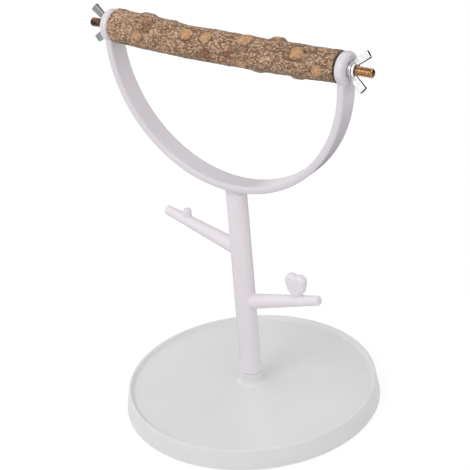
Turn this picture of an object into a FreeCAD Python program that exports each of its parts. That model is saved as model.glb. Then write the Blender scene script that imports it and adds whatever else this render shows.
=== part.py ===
import FreeCAD, Part
import math
import os
from FreeCAD import Placement, Rotation, Vector

# Parrot play stand: a moulded dish carries a post with two twigs, and the post carries
# a half-circle yoke that holds a branch perch between two wing nuts.
# Millimetres. Origin: centre of the plane that the soft pads stand on. +Z up, +X along the
# perch, towards the end whose twig carries the heart.

# ---------------------------------------------------------------- driving dimensions
# Soft pads
PAD_RADIUS = 6.0
PAD_THICKNESS = 2.0
PAD_EDGE_ROUND = 0.4
PAD_PROUD = 0.8            # how far a pad stands out below the dish's foot
PAD_INSET = 12.5           # from the dish's foot edge to a pad's middle
PAD_COUNT = 4
PAD_CUP_WALL = 1.4
PAD_CUP_CLEARANCE = 0.3

# Dish, heights above its foot
DISH_RADIUS = 91.5         # at the foot
DISH_HEIGHT = 14.2
DISH_SIDE_DRAFT = 2.3      # how far the side leans in over its height
LIP_WIDTH = 1.6
LIP_ROUND = 0.7
LIP_INNER_SLOPE = 2.1      # how far the inside of the lip leans in down to the floor
FLOOR_RIM_HEIGHT = 11.5
FLOOR_RISE = 1.3           # the floor is a shallow cone that drains to the lip
FLOOR_CORNER_ROUND = 1.2
DISH_WALL = 2.2

# Collar, socket and screw under the middle of the dish
COLLAR_RADIUS = 8.2
COLLAR_HEIGHT = 21.7
COLLAR_FLARE = 4.5
COLLAR_EDGE_ROUND = 0.5
SPIGOT_RADIUS = 5.9
SPIGOT_LENGTH = 12.8
SPIGOT_FLAT = 4.9          # distance from the axis to the flat that keys the post
SOCKET_CLEARANCE = 0.1
WEB_THICKNESS = 3.0
SCREW_WELL_RADIUS = 7.0
SCREW_WELL_WALL = 2.2
WELL_CORNER_ROUND = 1.0

# Ribs under the floor
RIB_COUNT = 8
RIB_THICKNESS = 1.6
RIB_FOOT_GAP = 2.0         # ribs stop short of the dish's foot
RIB_WELL_OVERLAP = 1.0     # how far a rib runs into the wall of the well

# Base screw and its washer
SCREW_RADIUS = 2.1
SCREW_LENGTH = 19.0
SCREW_POINT = 3.0
SCREW_HEAD_RADIUS = 4.0
SCREW_HEAD_HEIGHT = 2.6
SCREW_HEAD_ROUND = 1.2
SCREW_HOLE_CLEARANCE = 0.3
PILOT_CLEARANCE = 0.03
PILOT_EXTRA_DEPTH = 2.0
SCREW_WASHER_RADIUS = 6.0
SCREW_WASHER_THICKNESS = 1.2

# Post
POST_FOOT_RADIUS = 7.7
POST_TOP_RADIUS = 7.3
POST_FOOT_EDGE = 0.4
CORE_TOP_RADIUS = 4.9
CORE_FOOT_RADIUS = 4.3
POST_FLOOR = 18.0          # solid length of the foot above its shoulder

# Twigs, in the plane of the yoke; heights where a twig's axis meets the post's axis
UPPER_TWIG_HEIGHT = 120.3
LOWER_TWIG_HEIGHT = 78.7
UPPER_TWIG_RISE = 15.2     # degrees above level
LOWER_TWIG_RISE = 15.6
TWIG_LENGTH = 66.5
TWIG_ROOT_RADIUS = 5.7
TWIG_TIP_RADIUS = 3.4
TWIG_TIP_ROUND = 1.2
TWIG_ROOT_FILLET = 0.9

# Round bud on the upper twig, and the heart that stands on a like stem on the lower one
BUD_OFFSET = 44.5
BUD_RADIUS = 3.0
BUD_HEIGHT = 10.3          # above the twig's axis
BUD_ROUND = 0.9
HEART_OFFSET = 44.4
HEART_HEIGHT = 22.0        # above the twig's axis
HEART_LOBE_RADIUS = 5.0
HEART_LOBE_SPREAD = 3.8
HEART_CLEFT_ROUND = 0.8
HEART_FLANK_RADIUS = 14.0
HEART_POINT_RADIUS = 3.0
HEART_STEM_HEIGHT = 3.2    # lowest point of the heart above the twig's axis
HEART_THICKNESS = 8.0
HEART_EDGE_ROUND = 2.6

# Yoke
YOKE_INNER_RADIUS = 89.8
STRAP_THICKNESS = 5.2
STRAP_WIDTH = 15.7
STRAP_ROUND = 1.5
YOKE_CENTRE_HEIGHT = 263.2
PERCH_HEIGHT = 270.7       # axis of the perch above the dish's foot
BOSS_RADIUS = 11.2
BOSS_OUTER_PROUD = 1.4     # how far a boss stands out of the strap
BOSS_INNER_PROUD = 0.3
BOSS_OUTER_ROUND = 2.5
BOSS_INNER_ROUND = 3.0
NECK_LENGTH = 3.2          # from the strap's lowest point to the seam with the post
NECK_FLARE = 1.3
NECK_FILLET = 1.2
NECK_SIDE_GAP = 0.4        # how far the flare keeps inside the strap's sides
PLUG_LENGTH = 18.0
PLUG_CLEARANCE = 0.05
PLUG_LEAD = 0.8

# Perch hardware: M6 studs, washers and wing nuts
STUD_RADIUS = 3.0
STUD_CHAMFER = 0.6
RIGHT_STUD_FREE = 16.0     # from the boss's outer face to the free end
LEFT_STUD_FREE = 14.2
STUD_DEPTH = 30.0          # how far a stud runs into the branch
STUD_POINT = 5.0
STUD_BORE_CLEARANCE = 0.05
BOSS_BORE_CLEARANCE = 0.08
WASHER_RADIUS = 6.0
WASHER_THICKNESS = 1.6
WASHER_BORE_CLEARANCE = 0.1
NUT_BASE_RADIUS = 6.0
NUT_BASE_LENGTH = 1.4
NUT_TOP_RADIUS = 4.2
NUT_LENGTH = 4.6
NUT_EDGE_ROUND = 0.3
NUT_BORE_CLEARANCE = 0.06
WING_WIDTH = 6.1
WING_THICKNESS = 2.0
WING_LEAN = 48.2           # degrees from the stud's axis
WING_LENGTH = 12.1
WING_ROOT_RADIUS = 4.9
WING_ROOT_HEIGHT = 0.4     # above the nut's seat
WING_CORNER_ROUND = 0.9
RIGHT_NUT_TURN = -22.0     # degrees from upright, as they are left when tight
LEFT_NUT_TURN = 0.0

# Branch: place along its half length from -1 to 1, radius there, and how far its middle
# lies below the studs' axis and behind it
BRANCH_SHAPE = [
    (-1.0, 11.5, -0.4, 0.3),
    (-0.67, 11.5, 0.9, 0.7),
    (-0.33, 10.9, 1.9, 0.3),
    (0.0, 10.9, 1.3, -0.3),
    (0.33, 10.7, 0.9, -0.7),
    (0.67, 10.6, 0.5, 0.0),
    (1.0, 10.4, -0.5, 0.0),
]
BRANCH_END_ROUND = 0.8
KNOT_MARGIN = 1.1          # a knot's ball is at least this much smaller than the branch

# Knots and prickle scars on the branch: place along it, angle from the top towards the
# front in degrees, radius, how far each stands out
KNOTS = [
    (-63.0, -14.0, 5.5, 1.5),
    (-64.0, 82.0, 4.5, 0.8),
    (-42.5, -9.0, 3.6, 0.8),
    (-25.0, 38.0, 4.6, 0.8),
    (-9.0, 38.0, 4.2, 0.8),
    (20.5, 14.0, 6.0, 1.0),
    (20.2, 115.0, 4.4, 0.8),
    (30.6, 142.0, 4.0, 1.0),
    (40.5, -25.0, 5.5, 2.2),
    (60.0, 153.0, 4.2, 1.2),
    (61.4, 39.0, 5.0, 0.9),
    (78.0, 92.0, 4.6, 0.9),
    (-50.0, 200.0, 5.0, 1.0),
    (-12.0, 215.0, 4.6, 0.9),
    (35.0, 250.0, 4.8, 0.9),
    (70.0, 210.0, 4.4, 0.9),
]

# ---------------------------------------------------------------- derived places
FOOT_Z = PAD_PROUD
COLLAR_Z = FOOT_Z + COLLAR_HEIGHT
WEB_TOP_Z = COLLAR_Z - SPIGOT_LENGTH
WEB_FOOT_Z = WEB_TOP_Z - WEB_THICKNESS
LIP_OUTER_RADIUS = DISH_RADIUS - DISH_SIDE_DRAFT
LIP_INNER_RADIUS = LIP_OUTER_RADIUS - LIP_WIDTH
FLOOR_RIM_RADIUS = LIP_INNER_RADIUS - LIP_INNER_SLOPE
PAD_CIRCLE_RADIUS = DISH_RADIUS - PAD_INSET
FLOOR_RIM_Z = FOOT_Z + FLOOR_RIM_HEIGHT
FLOOR_SLOPE = FLOOR_RISE / FLOOR_RIM_RADIUS
YOKE_CENTRE_Z = FOOT_Z + YOKE_CENTRE_HEIGHT
YOKE_OUTER_RADIUS = YOKE_INNER_RADIUS + STRAP_THICKNESS
STRAP_LOW_Z = YOKE_CENTRE_Z - YOKE_OUTER_RADIUS
SEAM_Z = STRAP_LOW_Z - NECK_LENGTH
PERCH_Z = FOOT_Z + PERCH_HEIGHT
BOSS_FACE_X = YOKE_OUTER_RADIUS + BOSS_OUTER_PROUD
BRANCH_END_X = YOKE_INNER_RADIUS - BOSS_INNER_PROUD
NUT_SEAT_X = BOSS_FACE_X + WASHER_THICKNESS
RIGHT_STUD_REACH = BOSS_FACE_X + RIGHT_STUD_FREE
LEFT_STUD_REACH = BOSS_FACE_X + LEFT_STUD_FREE
WELL_RADIUS = SCREW_WELL_RADIUS + SCREW_WELL_WALL
X_AXIS = Vector(1, 0, 0)
Y_AXIS = Vector(0, 1, 0)
Z_AXIS = Vector(0, 0, 1)
ORIGIN = Vector(0, 0, 0)


# ---------------------------------------------------------------- helpers
def rounded_outline(corners):
    """Closed wire through corners (point, radius), each rounded by an arc of that radius."""
    pieces = []
    count = len(corners)
    starts = []
    ends = []
    mids = []
    for i, (corner, radius) in enumerate(corners):
        back = (corners[i - 1][0] - corner).normalize()
        ahead = (corners[(i + 1) % count][0] - corner).normalize()
        half = back.getAngle(ahead) / 2
        cut = radius / math.tan(half)
        starts.append(corner + back * cut)
        ends.append(corner + ahead * cut)
        inward = (back + ahead).normalize()
        mids.append(corner + inward * (radius / math.sin(half) - radius))
    for i, (corner, radius) in enumerate(corners):
        if radius > 0:
            pieces.append(Part.Arc(starts[i], mids[i], ends[i]).toShape())
        following = starts[(i + 1) % count]
        pieces.append(Part.LineSegment(ends[i], following).toShape())
    return Part.Wire(pieces)


def turned(corners, axis_point=ORIGIN, axis=Z_AXIS, angle=360):
    """Solid of revolution of a rounded outline."""
    face = Part.Face(rounded_outline(corners))
    return face.revolve(axis_point, axis, angle)


def ring_profile(points):
    """Corners in the XZ plane from (radius, z, round) triples."""
    return [(Vector(radius, 0, z), rounding) for radius, z, rounding in points]


def along_x(solid, x, mirrored=False):
    """Place a solid turned about Z so that its axis is the perch's and its base is at x."""
    turn = -90 if mirrored else 90
    side = -x if mirrored else x
    placed = solid.copy()
    placed.Placement = Placement(Vector(side, 0, PERCH_Z), Rotation(Y_AXIS, turn))
    return placed


def cylinder(radius, length, z):
    return Part.makeCylinder(radius, length, Vector(0, 0, z))


def around(shape, angle):
    copy = shape.copy()
    copy.rotate(ORIGIN, Z_AXIS, angle)
    return copy


def save(node, shape):
    solids = shape.Solids
    cleaned = solids[0] if len(solids) == 1 else Part.makeCompound(solids)
    print(node, "solids", len(solids), "valid", cleaned.isValid(), "volume %.0f" % cleaned.Volume)
    cleaned.exportStep("parts/" + node + ".step")


# ---------------------------------------------------------------- base
def floor_z(radius):
    """Top of the dish's floor at a radius: a shallow cone, highest in the middle."""
    return FLOOR_RIM_Z + FLOOR_SLOPE * (FLOOR_RIM_RADIUS - radius)


def keyed(radius, length, z, clearance):
    """Round plug with one flat, which keys the post to its socket."""
    plug = cylinder(radius + clearance, length, z)
    flat = SPIGOT_FLAT + clearance
    slab = Part.makeBox(4 * radius, 4 * radius, length, Vector(-2 * radius, flat - 4 * radius, z))
    return plug.common(slab)


def base_tray():
    lip_z = FOOT_Z + DISH_HEIGHT
    rim_inner = FLOOR_RIM_RADIUS + DISH_WALL
    outer = turned(ring_profile([
        (0, FOOT_Z, 0),
        (DISH_RADIUS, FOOT_Z, 0),
        (LIP_OUTER_RADIUS, lip_z, LIP_ROUND),
        (LIP_INNER_RADIUS, lip_z, LIP_ROUND),
        (FLOOR_RIM_RADIUS, FLOOR_RIM_Z, FLOOR_CORNER_ROUND),
        (COLLAR_RADIUS, floor_z(COLLAR_RADIUS), COLLAR_FLARE),
        (COLLAR_RADIUS, COLLAR_Z, COLLAR_EDGE_ROUND),
        (0, COLLAR_Z, 0),
    ]))
    hollow = turned(ring_profile([
        (WELL_RADIUS, FOOT_Z - 1, 0),
        (DISH_RADIUS - DISH_WALL, FOOT_Z - 1, 0),
        (rim_inner, FLOOR_RIM_Z - DISH_WALL, FLOOR_CORNER_ROUND),
        (WELL_RADIUS, floor_z(WELL_RADIUS) - DISH_WALL, WELL_CORNER_ROUND),
    ]))
    tray = outer.cut(hollow)
    rib_foot = FOOT_Z + RIB_FOOT_GAP
    rib_start = WELL_RADIUS - RIB_WELL_OVERLAP
    rib = Part.makeBox(DISH_RADIUS - rib_start, RIB_THICKNESS, COLLAR_Z - rib_foot,
                       Vector(rib_start, -RIB_THICKNESS / 2, rib_foot))
    cup = cylinder(PAD_RADIUS + PAD_CUP_CLEARANCE + PAD_CUP_WALL, FLOOR_RIM_Z - FOOT_Z, FOOT_Z)
    cup.translate(Vector(PAD_CIRCLE_RADIUS, 0, 0))
    under = []
    for i in range(RIB_COUNT):
        under.append(around(rib, (i + 0.5) * 360 / RIB_COUNT))
    for i in range(PAD_COUNT):
        under.append(around(cup, pad_angle(i)))
    under = under[0].multiFuse(under[1:]).common(hollow)
    tray = tray.fuse(under)
    cuts = [cylinder(SCREW_WELL_RADIUS, WEB_FOOT_Z, 0),
            cylinder(SCREW_RADIUS + SCREW_HOLE_CLEARANCE, COLLAR_Z, 0),
            keyed(SPIGOT_RADIUS, SPIGOT_LENGTH + 1, WEB_TOP_Z, SOCKET_CLEARANCE)]
    for i in range(PAD_COUNT):
        seat = cylinder(PAD_RADIUS + PAD_CUP_CLEARANCE, PAD_THICKNESS, 0)
        seat.translate(Vector(PAD_CIRCLE_RADIUS, 0, 0))
        cuts.append(around(seat, pad_angle(i)))
    return tray.cut(cuts).removeSplitter()


def pad_angle(index):
    """Pads lie under every other rib."""
    return (index * RIB_COUNT / PAD_COUNT + 0.5) * 360 / RIB_COUNT


def base_pad(index):
    pad = turned(ring_profile([
        (0, 0, 0),
        (PAD_RADIUS, 0, PAD_EDGE_ROUND),
        (PAD_RADIUS, PAD_THICKNESS, 0),
        (0, PAD_THICKNESS, 0),
    ]))
    pad.translate(Vector(PAD_CIRCLE_RADIUS, 0, 0))
    return around(pad, pad_angle(index))


def base_screw():
    seat = WEB_FOOT_Z - SCREW_WASHER_THICKNESS
    tip = seat + SCREW_LENGTH
    return turned(ring_profile([
        (0, seat - SCREW_HEAD_HEIGHT, 0),
        (SCREW_HEAD_RADIUS, seat - SCREW_HEAD_HEIGHT, SCREW_HEAD_ROUND),
        (SCREW_HEAD_RADIUS, seat, 0),
        (SCREW_RADIUS, seat, 0),
        (SCREW_RADIUS, tip - SCREW_POINT, 0),
        (0, tip, 0),
    ]))


def base_screw_washer():
    seat = WEB_FOOT_Z - SCREW_WASHER_THICKNESS
    disc = cylinder(SCREW_WASHER_RADIUS, SCREW_WASHER_THICKNESS, seat)
    return disc.cut(cylinder(SCREW_RADIUS + SCREW_HOLE_CLEARANCE, SCREW_WASHER_THICKNESS, seat))


# ---------------------------------------------------------------- post
def twig(height, rise, side):
    """Tapered twig that leaves the post at a height and rises towards side (+1 or -1)."""
    solid = turned(ring_profile([
        (0, 0, 0),
        (TWIG_ROOT_RADIUS, 0, 0),
        (TWIG_TIP_RADIUS, TWIG_LENGTH, TWIG_TIP_ROUND),
        (0, TWIG_LENGTH, 0),
    ]))
    solid.Placement = Placement(Vector(0, 0, FOOT_Z + height), Rotation(Y_AXIS, side * (90 - rise)))
    return solid


def twig_axis_z(height, rise, offset):
    return FOOT_Z + height + offset * math.tan(math.radians(rise))


def stem(offset, base, height, rounding):
    """Upright round stem that grows from a twig's axis."""
    solid = turned(ring_profile([
        (0, base, 0),
        (BUD_RADIUS, base, 0),
        (BUD_RADIUS, base + height, rounding),
        (0, base + height, 0),
    ]))
    solid.translate(Vector(offset, 0, 0))
    return solid


def bud():
    base = twig_axis_z(UPPER_TWIG_HEIGHT, UPPER_TWIG_RISE, BUD_OFFSET)
    return stem(-BUD_OFFSET, base, BUD_HEIGHT, BUD_ROUND)


def on_circle(centre, radius, towards):
    """Point of a circle on the side that faces another point."""
    return centre + (towards - centre).normalize() * radius


def heart_outline():
    """Half of a heart from the cleft to the point, in arcs that run into each other, and its
    mirror image. The middle of the point's arc is the origin."""
    lobe_z = HEART_HEIGHT - HEART_LOBE_RADIUS - HEART_STEM_HEIGHT - HEART_POINT_RADIUS
    lobe = Vector(HEART_LOBE_SPREAD, 0, lobe_z)
    cleft_reach = HEART_LOBE_RADIUS + HEART_CLEFT_ROUND
    cleft = Vector(0, 0, lobe_z + math.sqrt(cleft_reach ** 2 - HEART_LOBE_SPREAD ** 2))
    # the flank's circle holds the lobe's and the point's, and touches both from outside
    to_lobe = HEART_FLANK_RADIUS - HEART_LOBE_RADIUS
    to_point = HEART_FLANK_RADIUS - HEART_POINT_RADIUS
    gap = lobe.Length
    along = (to_point ** 2 - to_lobe ** 2 + gap ** 2) / (2 * gap)
    aside = math.sqrt(to_point ** 2 - along ** 2)
    ahead = lobe / gap
    flank = ahead * along + Vector(-ahead.z, 0, ahead.x) * aside
    cleft_low = cleft - Z_AXIS * HEART_CLEFT_ROUND
    cleft_end = on_circle(cleft, HEART_CLEFT_ROUND, lobe)
    cleft_mid = on_circle(cleft, HEART_CLEFT_ROUND, (cleft_low + cleft_end) / 2)
    lobe_end = lobe + (lobe - flank).normalize() * HEART_LOBE_RADIUS
    lobe_top = lobe + Z_AXIS * HEART_LOBE_RADIUS
    point_start = flank * (-HEART_POINT_RADIUS / flank.Length)
    flank_mid = on_circle(flank, HEART_FLANK_RADIUS, (lobe_end + point_start) / 2)
    point_end = Z_AXIS * -HEART_POINT_RADIUS
    point_mid = on_circle(ORIGIN, HEART_POINT_RADIUS, (point_start + point_end) / 2)
    half = [Part.Arc(cleft_low, cleft_mid, cleft_end).toShape(),
            Part.Arc(cleft_end, lobe_top, lobe_end).toShape(),
            Part.Arc(lobe_end, flank_mid, point_start).toShape(),
            Part.Arc(point_start, point_mid, point_end).toShape()]
    return Part.Wire(half + [edge.mirror(ORIGIN, X_AXIS) for edge in reversed(half)])


def heart():
    """Puffy heart on a short stem: a thick plate of that outline with broadly rounded edges."""
    base = twig_axis_z(LOWER_TWIG_HEIGHT, LOWER_TWIG_RISE, HEART_OFFSET)
    point_height = HEART_STEM_HEIGHT + HEART_POINT_RADIUS
    plate = Part.Face(heart_outline()).extrude(Vector(0, HEART_THICKNESS, 0))
    faces = [edge for edge in plate.Edges if edge.BoundBox.YLength < HEART_EDGE_ROUND]
    plate = plate.makeFillet(HEART_EDGE_ROUND, faces)
    plate.translate(Vector(HEART_OFFSET, -HEART_THICKNESS / 2, base + point_height))
    return plate.fuse(stem(HEART_OFFSET, base, point_height, 0))


def post():
    shaft = turned(ring_profile([
        (0, COLLAR_Z, 0),
        (POST_FOOT_RADIUS, COLLAR_Z, POST_FOOT_EDGE),
        (POST_TOP_RADIUS, SEAM_Z, 0),
        (0, SEAM_Z, 0),
    ]))
    upper = twig(UPPER_TWIG_HEIGHT, UPPER_TWIG_RISE, -1)
    lower = twig(LOWER_TWIG_HEIGHT, LOWER_TWIG_RISE, 1)
    body = shaft.fuse([upper, lower])
    roots = [edge for edge in body.Edges if is_twig_root(edge)]
    body = body.makeFillet(TWIG_ROOT_FILLET, roots)
    spigot = keyed(SPIGOT_RADIUS, SPIGOT_LENGTH, WEB_TOP_Z, 0)
    body = body.fuse([spigot, bud(), heart()])
    core_z = COLLAR_Z + POST_FLOOR
    core = Part.makeCone(CORE_FOOT_RADIUS, CORE_TOP_RADIUS, SEAM_Z - core_z, Vector(0, 0, core_z))
    screw_tip = WEB_FOOT_Z - SCREW_WASHER_THICKNESS + SCREW_LENGTH
    pilot = cylinder(SCREW_RADIUS + PILOT_CLEARANCE, screw_tip + PILOT_EXTRA_DEPTH - WEB_TOP_Z, WEB_TOP_Z)
    return body.cut([core, pilot])


def is_twig_root(edge):
    """A closed curve on the shaft's side, at neither of its ends."""
    box = edge.BoundBox
    return min(box.YLength, box.ZLength) > TWIG_ROOT_RADIUS and box.XLength < POST_FOOT_RADIUS


# ---------------------------------------------------------------- yoke
def strap_section():
    """Rounded section of the strap at the foot of the right arm."""
    half = STRAP_WIDTH / 2
    inner, outer = YOKE_INNER_RADIUS, YOKE_OUTER_RADIUS
    corners = [(inner, -half), (outer, -half), (outer, half), (inner, half)]
    return rounded_outline([(Vector(x, y, YOKE_CENTRE_Z), STRAP_ROUND) for x, y in corners])


def yoke():
    centre = Vector(0, 0, YOKE_CENTRE_Z)
    section = Part.Face(strap_section())
    strap = section.revolve(centre, Y_AXIS, 180)
    arm = section.extrude(Vector(0, 0, PERCH_Z - YOKE_CENTRE_Z))
    boss = turned(ring_profile([
        (0, BRANCH_END_X, 0),
        (BOSS_RADIUS, BRANCH_END_X, BOSS_INNER_ROUND),
        (BOSS_RADIUS, BOSS_FACE_X, BOSS_OUTER_ROUND),
        (0, BOSS_FACE_X, 0),
    ]))
    left_arm = arm.mirror(ORIGIN, X_AXIS)
    flare_radius = POST_TOP_RADIUS + NECK_FLARE
    overlap = STRAP_THICKNESS / 2
    neck = turned(ring_profile([
        (0, SEAM_Z, 0),
        (POST_TOP_RADIUS, SEAM_Z, 0),
        (POST_TOP_RADIUS, STRAP_LOW_Z, NECK_FILLET),
        (flare_radius, STRAP_LOW_Z, 0),
        (flare_radius, STRAP_LOW_Z + overlap, 0),
        (0, STRAP_LOW_Z + overlap, 0),
    ]))
    side = STRAP_WIDTH / 2 - NECK_SIDE_GAP
    neck = neck.common(Part.makeBox(2 * flare_radius, 2 * side, NECK_LENGTH + overlap,
                                    Vector(-flare_radius, -side, SEAM_Z)))
    plug_radius = CORE_TOP_RADIUS - PLUG_CLEARANCE
    taper = (CORE_TOP_RADIUS - CORE_FOOT_RADIUS) * PLUG_LENGTH / (SEAM_Z - COLLAR_Z - POST_FLOOR)
    plug = turned(ring_profile([
        (0, SEAM_Z - PLUG_LENGTH, 0),
        (plug_radius - taper, SEAM_Z - PLUG_LENGTH, PLUG_LEAD),
        (plug_radius, SEAM_Z, 0),
        (0, SEAM_Z, 0),
    ]))
    bosses = [along_x(boss, 0), along_x(boss, 0, mirrored=True)]
    solid = strap.fuse([arm, left_arm, neck, plug] + bosses)
    bore = cylinder(STUD_RADIUS + BOSS_BORE_CLEARANCE, 2 * BOSS_FACE_X + 2, -BOSS_FACE_X - 1)
    return solid.cut(along_x(bore, 0)).removeSplitter()


# ---------------------------------------------------------------- perch
def branch_at(x):
    """Middle and radius of the branch at a place along it."""
    place = x / BRANCH_END_X
    for near, far in zip(BRANCH_SHAPE, BRANCH_SHAPE[1:]):
        if place <= far[0]:
            break
    share = (place - near[0]) / (far[0] - near[0])
    radius, down, back = [a + (b - a) * share for a, b in zip(near[1:], far[1:])]
    return Vector(x, back, PERCH_Z - down), radius


def knot(x, angle, radius, proud):
    """Ball that stands out of the bark as a low dome of a radius."""
    middle, branch_radius = branch_at(x)
    ball = (radius ** 2 + proud ** 2) / (2 * proud)
    ball = min(ball, branch_radius - KNOT_MARGIN)
    turn = math.radians(angle)
    outward = Vector(0, -math.sin(turn), math.cos(turn))
    return Part.makeSphere(ball, middle + outward * (branch_radius + proud - ball))


def perch_branch():
    wires = []
    for place, radius, down, back in BRANCH_SHAPE:
        middle = Vector(place * BRANCH_END_X, back, PERCH_Z - down)
        wires.append(Part.Wire(Part.Circle(middle, X_AXIS, radius).toShape()))
    body = Part.makeLoft(wires, True, False)
    rims = [edge for edge in body.Edges if edge.BoundBox.XLength < BRANCH_END_ROUND]
    body = body.makeFillet(BRANCH_END_ROUND, rims)
    body = body.fuse([knot(*values) for values in KNOTS])
    reach = body.BoundBox.DiagonalLength
    sawn = Part.makeBox(2 * BRANCH_END_X, reach, reach,
                        Vector(-BRANCH_END_X, -reach / 2, PERCH_Z - reach / 2))
    bore = stud(BOSS_FACE_X, STUD_BORE_CLEARANCE)
    return body.common(sawn).cut([along_x(bore, 0), along_x(bore, 0, mirrored=True)])


def stud(reach, clearance=0):
    """Stud about Z, with its point inside the branch and its free end at reach."""
    inner = BRANCH_END_X - STUD_DEPTH
    radius = STUD_RADIUS + clearance
    return turned(ring_profile([
        (0, inner - clearance, 0),
        (radius, inner + STUD_POINT, 0),
        (radius, reach - STUD_CHAMFER, 0),
        (radius - STUD_CHAMFER, reach, 0),
        (0, reach, 0),
    ]))


def washer():
    disc = cylinder(WASHER_RADIUS, WASHER_THICKNESS, 0)
    return disc.cut(cylinder(STUD_RADIUS + WASHER_BORE_CLEARANCE, WASHER_THICKNESS, 0))


def wing_nut(turn):
    """Wing nut about Z with its seat at 0: a collared cone and two flared square wings."""
    hub = turned(ring_profile([
        (0, 0, 0),
        (NUT_BASE_RADIUS, 0, NUT_EDGE_ROUND),
        (NUT_BASE_RADIUS, NUT_BASE_LENGTH, NUT_EDGE_ROUND),
        (NUT_TOP_RADIUS, NUT_LENGTH, NUT_EDGE_ROUND),
        (0, NUT_LENGTH, 0),
    ]))
    lean = math.radians(WING_LEAN)
    along = Vector(math.sin(lean), 0, math.cos(lean))
    across = Vector(-math.cos(lean), 0, math.sin(lean))
    root = Vector(WING_ROOT_RADIUS, 0, WING_ROOT_HEIGHT)
    inner_root = root + across * WING_WIDTH
    sketch = rounded_outline([
        (root, 0),
        (root + along * WING_LENGTH, WING_CORNER_ROUND),
        (inner_root + along * WING_LENGTH, WING_CORNER_ROUND),
        (inner_root, 0),
    ])
    plate = Part.Face(sketch).extrude(Vector(0, WING_THICKNESS, 0))
    plate.translate(Vector(0, -WING_THICKNESS / 2, 0))
    nut = hub.fuse([plate, around(plate, 180)])
    bore = cylinder(STUD_RADIUS + NUT_BORE_CLEARANCE, 2 * NUT_LENGTH + WING_WIDTH, -NUT_LENGTH)
    return around(nut.cut(bore), turn)


# ---------------------------------------------------------------- make the pieces
os.makedirs("parts", exist_ok=True)

save("base_tray", base_tray())
for number in range(PAD_COUNT):
    save("base_pad_%d" % (number + 1), base_pad(number))
save("base_screw", base_screw())
save("base_screw_washer", base_screw_washer())
save("post", post())
save("yoke", yoke())
save("perch_branch", perch_branch())
save("right_stud", along_x(stud(RIGHT_STUD_REACH), 0))
save("left_stud", along_x(stud(LEFT_STUD_REACH), 0, mirrored=True))
save("right_washer", along_x(washer(), BOSS_FACE_X))
save("left_washer", along_x(washer(), BOSS_FACE_X, mirrored=True))
save("right_wing_nut", along_x(wing_nut(RIGHT_NUT_TURN), NUT_SEAT_X))
save("left_wing_nut", along_x(wing_nut(LEFT_NUT_TURN), NUT_SEAT_X, mirrored=True))
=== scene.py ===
"""Parrot play stand: moulded dish, post and yoke, bark-covered perch and plated hardware."""

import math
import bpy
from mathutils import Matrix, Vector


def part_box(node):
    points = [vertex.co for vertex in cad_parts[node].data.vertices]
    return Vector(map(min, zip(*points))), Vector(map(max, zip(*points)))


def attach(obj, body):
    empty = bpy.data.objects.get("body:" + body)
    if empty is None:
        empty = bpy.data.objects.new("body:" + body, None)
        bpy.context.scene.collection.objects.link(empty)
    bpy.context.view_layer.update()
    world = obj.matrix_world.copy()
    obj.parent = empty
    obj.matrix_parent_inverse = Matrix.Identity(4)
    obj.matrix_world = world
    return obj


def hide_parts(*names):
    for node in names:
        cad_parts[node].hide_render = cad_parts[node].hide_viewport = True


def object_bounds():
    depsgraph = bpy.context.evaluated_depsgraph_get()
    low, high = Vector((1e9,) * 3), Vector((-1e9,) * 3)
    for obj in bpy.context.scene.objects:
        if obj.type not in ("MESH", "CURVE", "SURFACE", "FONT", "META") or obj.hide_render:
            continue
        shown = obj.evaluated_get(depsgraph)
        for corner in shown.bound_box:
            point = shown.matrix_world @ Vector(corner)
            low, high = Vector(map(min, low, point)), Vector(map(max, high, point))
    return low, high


bl_info = {
    "name": "Parrot Play Stand",
    "version": (1, 0, 0),
    "blender": (4, 5, 0),
    "location": "View3D > Sidebar > Play Stand",
    "description": "Dresses the measured pieces of a bird's play stand in their real surfaces",
    "category": "Object",
}

import bmesh
import bpy
from bpy.props import FloatProperty, FloatVectorProperty, IntProperty, PointerProperty
from mathutils import Matrix, Vector, noise

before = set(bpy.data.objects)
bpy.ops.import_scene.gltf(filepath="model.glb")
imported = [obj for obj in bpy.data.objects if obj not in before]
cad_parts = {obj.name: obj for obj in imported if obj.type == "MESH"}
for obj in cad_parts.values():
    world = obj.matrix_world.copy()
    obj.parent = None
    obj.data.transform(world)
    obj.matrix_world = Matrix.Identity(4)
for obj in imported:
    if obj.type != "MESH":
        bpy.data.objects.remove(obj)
CAD_LOW, CAD_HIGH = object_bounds()

MM = 0.001
WELD = 0.001 * MM
UP = Vector((0, 0, 1))
WHITE = (1.0, 1.0, 1.0)
FLOOR_WHITE = 1.03  # strength at which the floor is plain white in the picture

# ------------------------------------------------------------------ places read from the frame
TRAY_LOW, TRAY_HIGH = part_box("base_tray")
POST_LOW, POST_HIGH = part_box("post")
SCREW_LOW, SCREW_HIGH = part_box("base_screw")
SCREW_WASHER_LOW, SCREW_WASHER_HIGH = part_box("base_screw_washer")
WASHER_LOW, WASHER_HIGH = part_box("right_washer")

FOOT_Z = TRAY_LOW.z
COLLAR_Z = TRAY_HIGH.z
DISH_RADIUS = TRAY_HIGH.x
SEAM_Z = POST_HIGH.z
BOSS_FACE_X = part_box("yoke")[1].x
BRANCH_END_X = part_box("perch_branch")[1].x
NUT_SEAT_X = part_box("right_wing_nut")[0].x
STUD_END_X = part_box("right_stud")[1].x
PERCH_Z = (WASHER_LOW.z + WASHER_HIGH.z) / 2
PADS = sorted(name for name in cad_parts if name.startswith("base_pad_"))
SIDES = {"right": 1, "left": -1}

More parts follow.
